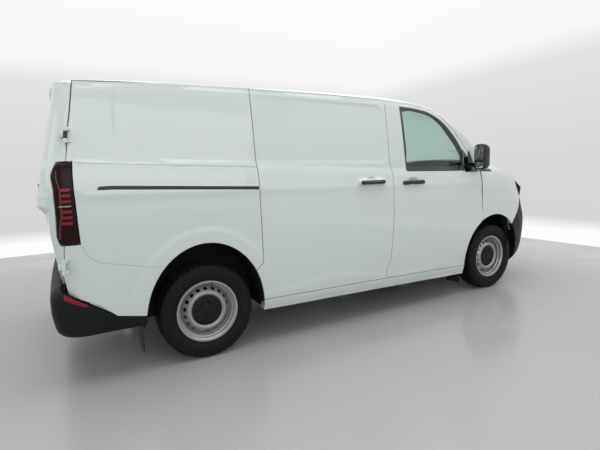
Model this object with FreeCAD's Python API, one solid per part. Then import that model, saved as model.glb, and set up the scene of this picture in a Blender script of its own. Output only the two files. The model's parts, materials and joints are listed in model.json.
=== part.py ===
"""A one-box panel van with a short bonnet, wrap-round hinged rear doors, two cab doors and one sliding side door.

Frame: +X forward, +Y to the van's left, +Z up, origin on the ground below the middle of the overall box.
All lengths are millimetres. Each function builds one real piece, and main() writes one file for each node.
"""

import FreeCAD
import Part
import math
import os

V = FreeCAD.Vector

# overall size and running gear
OVERALL_LENGTH = 5050.0
WHEELBASE = 3100.0
REAR_OVERHANG = 966.0
TRACK = 1728.0
TYRE_RADIUS = 343.0
TYRE_WIDTH = 215.0
RIM_FLANGE_RADIUS = 222.0
REAR_AXLE_X = -OVERALL_LENGTH / 2 + REAR_OVERHANG
FRONT_AXLE_X = REAR_AXLE_X + WHEELBASE

# body form
ROOF_HEIGHT = 1984.0
SIDE_WALL = 55.0
ROOF_WALL = 35.0
REAR_WALL = 50.0
FENDER_SKIN = 12.0
BONNET_WALL = 25.0
SHUT_GAP = 5.0
SEAT_GAP = 0.3
LEFT, RIGHT = 1, -1


def cubic_through(points):
    """A function whose graph is the natural cubic spline through the points, held level past both ends."""
    xs = [p[0] for p in points]
    ys = [p[1] for p in points]
    n = len(xs)
    h = [xs[i + 1] - xs[i] for i in range(n - 1)]
    lower, diag, upper, rhs = [0.0] * n, [1.0] * n, [0.0] * n, [0.0] * n
    for i in range(1, n - 1):
        lower[i], diag[i], upper[i] = h[i - 1], 2 * (h[i - 1] + h[i]), h[i]
        rhs[i] = 3 * ((ys[i + 1] - ys[i]) / h[i] - (ys[i] - ys[i - 1]) / h[i - 1])
    for i in range(1, n):
        factor = lower[i] / diag[i - 1]
        diag[i] -= factor * upper[i - 1]
        rhs[i] -= factor * rhs[i - 1]
    c = [0.0] * n
    for i in range(n - 2, -1, -1):
        c[i] = (rhs[i] - upper[i] * c[i + 1]) / diag[i]

    def value(x):
        x = min(max(x, xs[0]), xs[-1])
        i = 0
        while i < n - 2 and x > xs[i + 1]:
            i += 1
        t = x - xs[i]
        b = (ys[i + 1] - ys[i]) / h[i] - h[i] * (2 * c[i] + c[i + 1]) / 3
        d = (c[i + 1] - c[i]) / (3 * h[i])
        return ys[i] + b * t + c[i] * t * t + d * t ** 3

    return value


def prism_xz(points, y_from, y_to, grow=0.0):
    """The side-view outline points, each (x, z), as an upright prism from y_from to y_to, grown all round if asked."""
    wire = Part.makePolygon([V(x, y_from, z) for x, z in points] + [V(points[0][0], y_from, points[0][1])])
    face = Part.Face(wire)
    if grow:
        face = face.makeOffset2D(grow)
    return face.extrude(V(0, y_to - y_from, 0))


def prism_xy(points, z_from, z_to, grow=0.0):
    wire = Part.makePolygon([V(x, y, z_from) for x, y in points] + [V(points[0][0], points[0][1], z_from)])
    face = Part.Face(wire)
    if grow:
        face = face.makeOffset2D(grow)
    return face.extrude(V(0, 0, z_to - z_from))


def prism_yz(points, x_from, x_to):
    wire = Part.makePolygon([V(x_from, y, z) for y, z in points] + [V(x_from, points[0][0], points[0][1])])
    return Part.Face(wire).extrude(V(x_to - x_from, 0, 0))


def block(x_from, x_to, y_from, y_to, z_from, z_to):
    return Part.makeBox(x_to - x_from, y_to - y_from, z_to - z_from, V(x_from, y_from, z_from))


def edges_along(shape, direction):
    """The straight edges that run along a direction."""
    found = []
    for edge in shape.Edges:
        run = edge.Vertexes[-1].Point - edge.Vertexes[0].Point
        if run.Length > 0 and abs(abs(run.normalize().dot(direction)) - 1) < 1e-6:
            found.append(edge)
    return found


def rod(radius, start, end):
    a, b = V(*start), V(*end)
    return Part.makeCylinder(radius, (b - a).Length, a, b - a)


def mirrored(shape):
    return shape.mirror(V(0, 0, 0), V(0, 1, 0))


def for_side(shape, side):
    """A shape drawn on the right side, moved to the side asked for."""
    return shape if side == RIGHT else mirrored(shape)


def joined(shapes):
    return shapes[0].fuse(shapes[1:]) if len(shapes) > 1 else shapes[0]


def bezier(*poles):
    curve = Part.BezierCurve()
    curve.setPoles([V(*p) for p in poles])
    return curve.toShape()


def line(a, b):
    return Part.makeLine(V(*a), V(*b))


# upper body: roof, windscreen and the sides above the shoulder
# heights of the centre line, from the rear edge of the roof to the foot of the windscreen
ROOF_LINE = cubic_through([
    (-2560, ROOF_HEIGHT - 62), (-2300, ROOF_HEIGHT - 34), (-1700, ROOF_HEIGHT - 10), (-900, ROOF_HEIGHT),
    (-200, ROOF_HEIGHT - 3), (400, ROOF_HEIGHT - 14), (640, ROOF_HEIGHT - 28), (870, ROOF_HEIGHT - 66),
    (1021, ROOF_HEIGHT - 122), (1176, ROOF_HEIGHT - 214), (1336, ROOF_HEIGHT - 338), (1521, ROOF_HEIGHT - 494),
    (1640, ROOF_HEIGHT - 592), (1790, ROOF_HEIGHT - 712)])
CROWN = cubic_through([(-2500, 34), (-500, 30), (200, 32), (500, 45), (750, 68), (950, 88), (1200, 96), (1800, 96)])
CROWN_HALF = 800.0
SIDE_TAPER = cubic_through([(-2500, 0), (-500, 0), (300, 0), (700, 8), (1100, 26), (1500, 58), (1800, 90)])
UPPER_SIDE_AT = 1375.0
UPPER_SIDE_HALF = 966.0
CANT_RAIL_WIDTH = 85.0
CANT_RAIL_DROP = 80.0
REAR_PLANE_X = -2484.0
REAR_PLANE_Z = 1378.0
REAR_LEAN = 0.21
REAR_CORNER = 105.0
UPPER_FOOT = 1150.0


def upper_half_width(z):
    """Half the width of the upper body at height z, before the taper to the front."""
    rise = z - UPPER_SIDE_AT
    return UPPER_SIDE_HALF - 0.085 * rise - 0.00008 * rise * rise


def upper_section(x, foot, side_inset, top_inset):
    """Closed upright section of the upper body at x."""
    top = ROOF_LINE(x) - top_inset
    crown = CROWN(x)
    less = SIDE_TAPER(x) + side_inset

    def side(z):
        return upper_half_width(z) - less

    def roof(y):
        return top - crown * (y / CROWN_HALF) ** 2

    shoulder_z = roof(side(top)) - CANT_RAIL_DROP
    shoulder_y = side(shoulder_z)
    edge_y = shoulder_y - CANT_RAIL_WIDTH
    edge_z = roof(edge_y)
    side_slope = (side(shoulder_z + 1) - side(shoulder_z - 1)) / 2
    roof_slope = -2 * crown * edge_y / CROWN_HALF ** 2
    # the corner's middle pole is where the side's tangent meets the roof's
    corner_z = (edge_z + roof_slope * (shoulder_y - edge_y - side_slope * shoulder_z)) / (1 - roof_slope * side_slope)
    corner_y = shoulder_y + side_slope * (corner_z - shoulder_z)
    middle_z = (foot + shoulder_z) / 2
    foot_slope = (side(foot + 1) - side(foot - 1)) / 2
    middle_y = side(foot) + foot_slope * (middle_z - foot)
    edges = [
        bezier((x, side(foot), foot), (x, middle_y, middle_z), (x, shoulder_y, shoulder_z)),
        bezier((x, shoulder_y, shoulder_z), (x, corner_y, corner_z), (x, edge_y, edge_z)),
        bezier((x, edge_y, edge_z), (x, 0, 2 * top - edge_z), (x, -edge_y, edge_z)),
        bezier((x, -edge_y, edge_z), (x, -corner_y, corner_z), (x, -shoulder_y, shoulder_z)),
        bezier((x, -shoulder_y, shoulder_z), (x, -middle_y, middle_z), (x, -side(foot), foot)),
        line((x, -side(foot), foot), (x, side(foot), foot)),
    ]
    return Part.Wire(edges)


def upper_form(side_inset=0.0, top_inset=0.0, rear_inset=0.0, x_from=-2600.0):
    """The upper body as one solid, or the same form taken in. The tail is cut to its lean and its corners rounded."""
    stations = [x for x in (-2600, -2100, -1500, -800, -200, 200, 500) if x >= x_from]
    stations += [700, 900, 1100, 1300, 1500, 1650, 1780]
    foots = {1100: 1080, 1300: 960, 1500: 860, 1650: 820, 1780: 800}
    wires = [upper_section(x, foots.get(x, UPPER_FOOT), side_inset, top_inset) for x in stations]
    form = Part.makeLoft(wires, True, False)
    if x_from > -2600:
        return form
    low_x = REAR_PLANE_X + rear_inset + REAR_LEAN * (1000 - REAR_PLANE_Z)
    high_x = REAR_PLANE_X + rear_inset + REAR_LEAN * (2200 - REAR_PLANE_Z)
    tail = prism_xz([(-2900, 1000), (low_x, 1000), (high_x, 2200), (-2900, 2200)], -1200, 1200)
    form = form.cut(tail)
    upright = []
    for edge in form.Edges:
        box = edge.BoundBox
        if box.XMax < -2250 and box.ZLength > 500 and abs(box.YMin) > 700:
            upright.append(edge)
    return form.makeFillet(REAR_CORNER, upright)


# lower body: horizontal outlines, each in a plane that falls to the front by its own slope
# height at x = 0, slope, half width, rear end, front end
LEVELS = [
    (245, 0.020, 945, -2380, 2340), (285, 0.020, 985, -2410, 2382), (340, 0.021, 998, -2425, 2440),
    (460, 0.023, 1009, -2440, 2490), (620, 0.026, 1015, -2450, 2513), (780, 0.030, 1016, -2468, 2514),
    (940, 0.034, 1013, -2492, 2470), (1090, 0.038, 1009, -2505, 2424), (1170, 0.040, 1005, -2507, 2388),
    (1210, 0.041, 1000, -2506, 2370), (1262, 0.043, 991, -2500, 2345), (1330, 0.036, 956, -2445, 2320),
    (1400, 0.020, 880, -2400, 2290), (1470, 0.0, 760, -2350, 2250)]
NOSE_START = 1250.0
# distance behind the tip, share of the half width
NOSE_CURVE = [(925, 0.991), (625, 0.963), (425, 0.917), (284, 0.855), (145, 0.756), (65, 0.632), (20, 0.425)]
LOWER_CORNER = 130.0
REAR_BOW = 12.0


NOSE_WALL = 60.0
BUMPER_WALL = 50.0

# bonnet and scuttle surface: heights of the centre line
BONNET_LINE = cubic_through([
    (850, 1474), (1250, 1420), (1500, 1393), (1640, 1374), (1771, 1346), (1921, 1316), (2081, 1268),
    (2211, 1215), (2311, 1160), (2391, 1100), (2440, 1052), (2600, 880)])
BONNET_CROWN = 71.0
FRONT_BONNET_LOW = 1062.0

# wheel openings
REAR_ARCH_HALF = 422.0
REAR_ARCH_RISE = 503.0
FRONT_ARCH_RADIUS = 460.0
LINER = 8.0
LINER_FOOT_Z = 300.0

# the tail bumper: height, half width, rear end
BUMPER_LEVELS = [(318, 905, -2425), (332, 950, -2462), (362, 985, -2495), (415, 1004, -2514), (480, 1013, -2523),
                 (540, 1016, -2525), (600, 1017, -2522), (632, 1012, -2505), (646, 1000, -2480)]

# side-view outlines, each point (x, z)
SEAM_Z = cubic_through([(-2280, 1905), (-1700, 1925), (-1115, 1930), (-500, 1926), (129, 1913), (400, 1900),
                        (600, 1878)])
B_SHUT_LINE = [(129, 1913), (130, 1361), (145, 1300), (145, 1125), (141, 900), (102, 503), (55, 418), (62, 341)]
SLIDING_DOOR_OUTLINE = [(-1138, 1930), (-500, 1926)] + B_SHUT_LINE + [
    (-1300, 366), (-1260, 500), (-1205, 592), (-1140, 650)]
FRONT_DOOR_OUTLINE = [(400, 1900), (600, 1878), (751, 1838), (845, 1785), (975, 1680), (1105, 1555), (1215, 1425),
                      (1290, 1335), (1330, 1290), (1348, 1240), (1348, 312)] + B_SHUT_LINE[::-1]
FRONT_WINDOW_OUTLINE = [(294, 1850), (310, 1863), (494, 1846), (661, 1825), (816, 1754), (944, 1651), (1067, 1524),
                        (1114, 1425), (1100, 1282), (1085, 1270), (330, 1284), (312, 1300)]
LAMP_BACK_X = -2438.0
REAR_DOOR_TOP = 1893.0
REAR_DOOR_TOP_X = -2375.0
REAR_DOOR_TOP_FALL = 0.13


def rear_door_top(x):
    """Height of the wing doors' top edge. It falls inwards, because the leaning hinges lift the door as it opens."""
    return REAR_DOOR_TOP - REAR_DOOR_TOP_FALL * (x - REAR_DOOR_TOP_X)


REAR_DOOR_OUTLINE = [(-2620, 650), (-2452, 650), (-2417, 800), (-2405, 920.5), (LAMP_BACK_X, 920.5), (LAMP_BACK_X, 1413.5),
                     (-2354, 1413.5), (-2336, 1567), (-2281, rear_door_top(-2281)), (-2620, rear_door_top(-2620))]
TAIL_LAMP_OUTLINE = [(-2320, 1411), (-2320, 923), (-2450, 923), (-2450, 1411)]
REAR_BUMPER_OUTLINE = [(-2700, 647.5), (-2455, 647.5), (-2409, 618), (-2152, 440), (-1960, 405), (-1900, 405),
                       (-1900, 150), (-2700, 150)]
FRONT_BUMPER_ZONE = [(1900, 100), (1900, 560), (1993, 640), (2170, 935), (2215, FRONT_BONNET_LOW),
                     (2700, FRONT_BONNET_LOW), (2700, 100)]
NOSE_TOP_OUTLINE = [(2160, 800), (2170, 935), (2215, FRONT_BONNET_LOW), (2700, FRONT_BONNET_LOW), (2700, 800)]
SCREEN_FRAME_ZONE = [(590, 1600), (590, 2100), (1900, 2100), (1900, 1378), (1640, 1368), (1330, 1288), (1000, 1262)]
# pressings
WINDOW_PRESSING = [(-2078, 1574), (-2054, 1866), (-1000, 1871), (80, 1850), (92, 1373), (-1780, 1412)]
WINDOW_CORNER = 45.0
WINDOW_DEPTH = 9.0
REAR_FIELD = (85.0, 700.0, 1500.0, 1812.0)
REAR_FIELD_DEPTH = 9.0
PLATE_FIELD = (120.0, 690.0, 990.0, 1150.0)
PLATE_DEPTH = 14.0
FIELD_CORNER = 30.0

SIDE_RAIL_OUTLINE = [(-2213, 1240), (-2195, 1262), (-2120, 1263), (-1134, 1216), (-1134, 1190), (-2120, 1240),
                     (-2195, 1238)]

# plan outlines, each point (x, y)
BONNET_OUTLINE = [(1768, -850), (2000, -840), (2240, -805), (2700, -805), (2700, 805), (2240, 805), (2000, 840),
                  (1768, 850)]
SCREEN_OUTLINE = [(700, -770), (1585, -835), (1622, 0), (1585, 835), (700, 770)]
HEADLAMP_OUTLINE = [(2120, -1100), (2120, -900), (2200, -560), (2700, -560), (2700, -1100)]
HEADLAMP_LOW = 935.0
GRILLE_HALF = 560.0
GRILLE_LOW = 800.0
GRILLE_SLOTS = 4
GRILLE_SLOT_HEIGHT = 30.0
GRILLE_SLOT_PITCH = 48.0
INTAKE_LOW = 400.0
INTAKE_SLOTS = 3
INTAKE_HALF = 520.0
RADIATOR = (2172.0, 2208.0, -380.0, 380.0, 540.0, 980.0)

# cab door hinge: an upright axis, with the door's front edge round it
DOOR_HINGE_X = 1275.0
DOOR_HINGE_Y = 968.0
DOOR_EDGE_RADIUS = 66.0
DOOR_CYLINDER_TOP = 1345.0

# rear door hinge axis: two points on it, on the right side
REAR_HINGE_LOW = (-2417.0, -1036.0, 800.0)
REAR_HINGE_HIGH = (-2341.0, -974.0, 1570.0)

# running gear
RUNNING_FIT = 0.05
SPINDLE_RADIUS = 33.0
KINGPIN_Y = 720.0
STRUT_TOP = 750.0
TOWER_WALL_Y = 544.0
RAIL_Y = 485.0
RAIL_REAR_BOTTOM = 470.0
TOW_HOLE_RADIUS = 6.5
TOW_HOLE_MIDDLE_X = -2130.0
TOW_HOLE_SPACING = 180.0
WHEEL_HOLES = 18
HOLE_CIRCLE = 159.0
HOLE_RADIUS = 15.0
DISC_RING_RADIUS = 126.0
DISC_RING_OFFSET = -70.0
DISC_FOOT_RADIUS = 182.0
DISC_FOOT_OFFSET = -24.0
DISC_THICKNESS = 9.0
FLOOR_TOP = 580.0
FLOOR_THICKNESS = 40.0
FENDER_START = 1085.0
COWL_START = 1650.0
COWL_DROP = 75.0
BONNET_HINGE_X = 1760.0
BONNET_HINGE_Z = 1255.0
FIREWALL_X = 1590.0
PARTITION_X = 40.0
DRIVER_Y = 480.0
WHEEL_GRIP_RADIUS = 185.0
HINGE_BARREL = 13.0
MIRROR_BACK_X = 1090.0
MIRROR_TIP_Y = 1137.0
MIRROR_WIDTH = 118.0
MIRROR_HEIGHT = 252.0
MIRROR_MIDDLE_Z = 1397.0
TAIL_SPLIT_Y = 860.0
HINGE_PIN = 6.0
MIRROR_SAIL_OUTLINE = [(1116, 1425), (1101, 1276), (1101, 1255), (1300, 1255), (1300, 1300), (1150, 1470)]


def level_outline(height, slope, half, rear, front, inset=0.0, rear_inset=None, front_inset=None):
    """Closed plan outline of the lower body: bowed tail, rounded rear corners, straight sides and one nose curve."""
    half = half - inset
    rear = rear + (inset if rear_inset is None else rear_inset)
    front = front - (inset if front_inset is None else front_inset)

    def at(x, y):
        return V(x, y, height - slope * x)

    corner = half - LOWER_CORNER
    tail_x = rear + REAR_BOW
    tail = Part.BezierCurve()
    tail.setPoles([at(tail_x, -corner), at(rear - REAR_BOW, 0), at(tail_x, corner)])
    left_corner = Part.BezierCurve()
    left_corner.setPoles([at(tail_x, corner), at(tail_x, half), at(tail_x + LOWER_CORNER, half)])
    right_corner = Part.BezierCurve()
    right_corner.setPoles([at(tail_x + LOWER_CORNER, -half), at(tail_x, -half), at(tail_x, -corner)])
    nose_points = [(NOSE_START, half)] + [(front - back, share * half) for back, share in NOSE_CURVE]
    nose_points += [(front, 0)] + [(x, -y) for x, y in reversed(nose_points)]
    nose = Part.BSplineCurve()
    nose.interpolate([at(x, y) for x, y in nose_points], InitialTangent=V(1, 0, -slope), FinalTangent=V(-1, 0, slope))
    edges = [tail.toShape(), left_corner.toShape(),
             Part.makeLine(at(tail_x + LOWER_CORNER, half), at(NOSE_START, half)), nose.toShape(),
             Part.makeLine(at(NOSE_START, -half), at(tail_x + LOWER_CORNER, -half)), right_corner.toShape()]
    return Part.Wire(edges)


def bonnet_form(lower_by=0.0):
    """Everything under the crowned surface of the bonnet and the scuttle."""
    wires = []
    for x in (850, 1250, 1500, 1640, 1780, 1920, 2080, 2210, 2310, 2400, 2480, 2600):
        top = BONNET_LINE(x) - lower_by
        edge = top - BONNET_CROWN * 1.6
        wires.append(Part.Wire([
            line((x, -1100, 0), (x, -1100, edge)),
            bezier((x, -1100, edge), (x, 0, 2 * top - edge), (x, 1100, edge)),
            line((x, 1100, edge), (x, 1100, 0)),
            line((x, 1100, 0), (x, -1100, 0))]))
    return Part.makeLoft(wires, True, False)


def bumper_tail_form(inset=0.0):
    wires = [level_outline(z, 0.0, half, rear, 2300, inset) for z, half, rear in BUMPER_LEVELS]
    return Part.makeLoft(wires, True, False)


def outer_form(inset=0.0, top_inset=0.0, rear_inset=0.0, front_inset=0.0):
    """The whole painted body as one solid, or the space inside it."""
    upper = upper_form(inset, top_inset, rear_inset)
    levels = LEVELS if not inset else [(LEVELS[0][0] - 100,) + LEVELS[0][1:]] + LEVELS[1:]
    low = Part.makeLoft([level_outline(*level, inset, rear_inset, front_inset) for level in levels], True, False)
    under = bonnet_form(top_inset).fuse(block(-2700, 860, -1150, 1150, 0, 1500))
    return upper.fuse(low.common(under))


def arch_prism(side, wheel_x, half_length, height, y_in, y_out, grow=0.0):
    """The space of one wheel arch, from its foot to its crown, along Y."""
    major, minor = height + grow, half_length + grow
    centre = V(wheel_x, y_in, TYRE_RADIUS)
    if major > minor:
        ellipse = Part.Ellipse(V(wheel_x, y_in, TYRE_RADIUS + major), V(wheel_x + minor, y_in, TYRE_RADIUS), centre)
    else:
        ellipse = Part.Circle(centre, V(0, 1, 0), major)
    face = Part.Face(Part.Wire([ellipse.toShape()]))
    tube = face.extrude(V(0, y_out - y_in, 0))
    skirt = block(wheel_x - minor, wheel_x + minor, y_in, y_out, 100, TYRE_RADIUS)
    return for_side(tube.fuse(skirt), side)


def rear_arch(side, y_in=-1100, y_out=-600, grow=0.0):
    return arch_prism(side, REAR_AXLE_X, REAR_ARCH_HALF, REAR_ARCH_RISE, y_in, y_out, grow)


def front_arch(side, y_in=-1100, y_out=-545, grow=0.0):
    return arch_prism(side, FRONT_AXLE_X, FRONT_ARCH_RADIUS, FRONT_ARCH_RADIUS, y_in, y_out, grow)


def window_pressing(outer):
    """What is pressed in on both sides, in the fields where such a van may have windows."""
    field = prism_xz(WINDOW_PRESSING, -1200, -600)
    field = field.makeFillet(WINDOW_CORNER, edges_along(field, V(0, 1, 0)))
    pressing = outer.common(field).cut(upper_form(WINDOW_DEPTH, 0.0, 0.0))
    return pressing.fuse(mirrored(pressing))


def rear_field(outer, field, depth):
    """A field pressed in on a rear door: from and to y, from and to z."""
    zone = block(-2700, -2200, *field)
    zone = zone.makeFillet(FIELD_CORNER, edges_along(zone, V(1, 0, 0)))
    return outer.common(zone).cut(outer_form(0.0, 0.0, depth))


def slots(count, low, half_width):
    """Level slots through the nose, each in two halves beside a middle bar."""
    spaces = []
    for i in range(count):
        z = low + i * GRILLE_SLOT_PITCH
        for side in (RIGHT, LEFT):
            slot = block(2200, 2700, -half_width, -14, z, z + GRILLE_SLOT_HEIGHT)
            slot = slot.makeFillet(GRILLE_SLOT_HEIGHT * 0.4, edges_along(slot, V(1, 0, 0)))
            spaces.append(for_side(slot, side))
    return spaces


def grip(x_from, x_to, z_from, z_to):
    """A pull handle on the right side, rounded on its outside, before the body is cut from it."""
    bar = block(x_from, x_to, -1034, -985, z_from, z_to)
    outside = [e for e in bar.Edges if all(v.Point.y < -1033 for v in e.Vertexes)]
    return bar.makeFillet(9.0, outside)


def rear_door_space(side, grow=0.0):
    plain = [p for p in REAR_DOOR_OUTLINE if p[0] != LAMP_BACK_X]
    space = prism_xz(REAR_DOOR_OUTLINE, -1200, -800, grow).cut(block(-3000, 0, -TAIL_SPLIT_Y - grow, 0, 0, 2200))
    space = space.fuse(prism_xz(plain, -TAIL_SPLIT_Y - grow, -SHUT_GAP / 2 + grow, grow))
    return for_side(space, side)


def sliding_door_space(grow=0.0):
    return prism_xz(SLIDING_DOOR_OUTLINE, -1200, -700, grow)


def front_door_space(side, grow=0.0):
    """A cab door's share of the shell. Ahead of the hinge its edge is round the hinge axis, so that it swings clear."""
    outline = prism_xz(FRONT_DOOR_OUTLINE, -1200, -640, grow)
    behind = block(-2000, DOOR_HINGE_X, -1300, -500, 0, 2100)
    ahead = Part.makeCylinder(DOOR_EDGE_RADIUS + grow, 1500, V(DOOR_HINGE_X, -DOOR_HINGE_Y, 0))
    above = block(DOOR_HINGE_X, 1700, -1300, -500, DOOR_CYLINDER_TOP, 2100)
    return for_side(outline.common(joined([behind, ahead, above])), side)


def front_window_space(side, grow=0.0):
    return for_side(prism_xz(FRONT_WINDOW_OUTLINE, -1200, -640, grow), side)


def turned(profile, y_middle, x, z):
    """A ring turned about the wheel's own axis from (radius, offset) points; a third value of 1 marks an arc's middle."""
    edges = []
    points = profile + [profile[0]]
    i = 0
    while i < len(points) - 1:
        a = points[i]
        if len(points[i + 1]) > 2:
            mid, b = points[i + 1], points[i + 2]
            arc = Part.Arc(V(x + a[0], y_middle + a[1], z), V(x + mid[0], y_middle + mid[1], z),
                           V(x + b[0], y_middle + b[1], z))
            edges.append(arc.toShape())
            i += 2
        else:
            b = points[i + 1]
            edges.append(line((x + a[0], y_middle + a[1], z), (x + b[0], y_middle + b[1], z)))
            i += 1
    face = Part.Face(Part.Wire(edges))
    return face.revolve(V(x, y_middle, z), V(0, 1, 0), 360)


def tyre(x, side):
    profile = [(204, -84), (222.5, -84), (226, -98), (285, -TYRE_WIDTH / 2, 1), (326, -98), (336, -88, 1),
               (TYRE_RADIUS, -70), (TYRE_RADIUS, 70), (336, 88, 1), (326, 98), (285, TYRE_WIDTH / 2, 1),
               (226, 98), (222.5, 84), (204, 84)]
    ring = turned(profile, -TRACK / 2, x, TYRE_RADIUS)
    return for_side(ring, side)


def rim(x, side):
    """A pressed steel wheel: stepped barrel with two flanges, a proud ring, a cone of round holes, and a hub bore."""
    middle = -TRACK / 2
    bore = SPINDLE_RADIUS + RUNNING_FIT
    barrel = turned([(210, -91), (RIM_FLANGE_RADIUS, -91), (RIM_FLANGE_RADIUS, -84), (204, -84), (204, 84),
                     (RIM_FLANGE_RADIUS, 84), (RIM_FLANGE_RADIUS, 91), (196, 91), (189, 50), (189, -52), (199, -60),
                     (199, -80)], middle, x, TYRE_RADIUS)
    ring, top, foot, low, wall = DISC_RING_RADIUS, DISC_RING_OFFSET, DISC_FOOT_RADIUS, DISC_FOOT_OFFSET, DISC_THICKNESS
    disc = turned([(bore, -20), (80, -20), (90, -36), (ring - 14, top + 22), (ring, top + wall + 4),
                   (ring + 8, top + wall + 5), (foot - 4, low + wall), (193, low + wall), (193, low), (foot, low),
                   (ring + 12, top + 4), (ring, top, 1), (ring - 11, top + 5), (ring - 17, top + 13), (84, -46),
                   (74, -32), (bore, -32)], middle, x, TYRE_RADIUS)
    rise = math.atan2(low - top - 4, foot - ring - 12)
    reach = HOLE_CIRCLE - ring - 12
    offset = top + 4 + reach * math.tan(rise)
    holes = []
    for i in range(WHEEL_HOLES):
        angle = 2 * math.pi * (i + 0.5) / WHEEL_HOLES
        outward = V(math.cos(angle) * math.sin(rise), -math.cos(rise), math.sin(angle) * math.sin(rise))
        at = V(x + HOLE_CIRCLE * math.cos(angle), middle + offset, TYRE_RADIUS + HOLE_CIRCLE * math.sin(angle))
        holes.append(Part.makeCylinder(HOLE_RADIUS, 34, at - outward * 20, outward))
    return for_side(barrel.fuse(disc).cut(holes), side)


def knuckle(side):
    """Steered upright: spindle, brake drum, strut up to the tower and a stud down into the lower arm."""
    x, z = FRONT_AXLE_X, TYRE_RADIUS
    post = block(x - 32, x + 32, -KINGPIN_Y - 28, -KINGPIN_Y + 28, z - 95, z + 110)
    spindle = rod(SPINDLE_RADIUS, (x, -KINGPIN_Y, z), (x, -TRACK / 2 - 36, z))
    drum = rod(118, (x, -KINGPIN_Y - 62, z), (x, -KINGPIN_Y - 108, z))
    strut = rod(28, (x, -KINGPIN_Y, z + 90), (x, -KINGPIN_Y, STRUT_TOP))
    spring = rod(34, (x, -KINGPIN_Y, z + 190), (x, -KINGPIN_Y, STRUT_TOP - 30))
    top_pin = rod(14, (x, -KINGPIN_Y, STRUT_TOP), (x, -KINGPIN_Y, STRUT_TOP + 45))
    stud = rod(14, (x, -KINGPIN_Y, z - 95), (x, -KINGPIN_Y, z - 160))
    return for_side(joined([post, spindle, drum, strut, spring, top_pin, stud]), side)


def front_suspension():
    """Subframe, two lower arms and two strut towers, one each side."""
    x, z = FRONT_AXLE_X, TYRE_RADIUS
    arm_top, arm_low = z - 98, z - 138
    frame = joined([block(x - 260, x + 200, -520, -430, 250, 330), block(x - 260, x + 200, 430, 520, 250, 330),
                    block(x - 260, x - 190, -520, 520, 250, 310), block(x + 120, x + 200, -520, 520, 250, 310)])
    pieces = [frame]
    for side in (RIGHT, LEFT):
        arm = prism_xy([(x - 230, -500), (x + 90, -500), (x + 34, -KINGPIN_Y - 30), (x - 34, -KINGPIN_Y - 30)],
                       arm_low, arm_top)
        arm = arm.cut(rod(14 + RUNNING_FIT, (x, -KINGPIN_Y, arm_low - 10), (x, -KINGPIN_Y, arm_top + 10)))
        arm = arm.fuse(block(x - 240, x + 100, -520, -490, arm_low, 300))
        tower = block(x - 45, x + 45, -TOWER_WALL_Y, -RAIL_Y - 35, 310, STRUT_TOP + 40)
        tower = tower.cut(block(x - 100, x + 100, -600, -400, FLOOR_TOP - FLOOR_THICKNESS, FLOOR_TOP))
        cap = block(x - 45, x + 45, -KINGPIN_Y - 45, -RAIL_Y - 35, STRUT_TOP + 8, STRUT_TOP + 40)
        cap = cap.cut(rod(14 + RUNNING_FIT, (x, -KINGPIN_Y, STRUT_TOP), (x, -KINGPIN_Y, STRUT_TOP + 60)))
        pieces += [for_side(arm, side), for_side(tower.fuse(cap), side)]
    return joined(pieces)


def rear_axle():
    """Cross beam with a spindle and brake drum at each end, held by two trailing arms."""
    x, z = REAR_AXLE_X, TYRE_RADIUS
    pieces = [rod(45, (x, -700, z), (x, 700, z))]
    for side in (RIGHT, LEFT):
        spindle = rod(SPINDLE_RADIUS, (x, -690, z), (x, -TRACK / 2 - 36, z))
        drum = rod(125, (x, -705, z), (x, -800, z))
        arm = prism_xz([(x - 60, z - 40), (x + 40, z - 55), (x + 560, 440), (x + 560, 520), (x + 40, z + 50),
                        (x - 60, z + 40)], -RAIL_Y - 95, -RAIL_Y - 35)
        pieces += [for_side(spindle, side), for_side(drum, side), for_side(arm, side)]
    return joined(pieces)


def chassis_rails():
    """Two long rails arched over the rear axle, with cross members and the holes that take a tow bar."""
    low = RAIL_REAR_BOTTOM
    arch = [(-2440, low), (-2440, 540), (-2000, 540), (2180, 540), (2180, 430), (1900, 430), (-900, 440), (-1150, 460),
            (-1300, 505), (-1800, 505), (-1980, low)]
    pieces = []
    for side in (RIGHT, LEFT):
        pieces.append(for_side(prism_xz(arch, -RAIL_Y - 35, -RAIL_Y + 35), side))
    for x in (-2300, -1950, -980, -300, 500, 1120):
        pieces.append(block(x - 40, x + 40, -RAIL_Y - 35, RAIL_Y + 35, 480, 540))
    pieces.append(block(2150, 2230, -700, 700, 430, 540))
    rails = joined(pieces)
    for side in (RIGHT, LEFT):
        for end in (-1, 1):
            x = TOW_HOLE_MIDDLE_X + end * TOW_HOLE_SPACING / 2
            rails = rails.cut(rod(TOW_HOLE_RADIUS, (x, side * RAIL_Y, low - 10), (x, side * RAIL_Y, 560)))
    return rails


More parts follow.
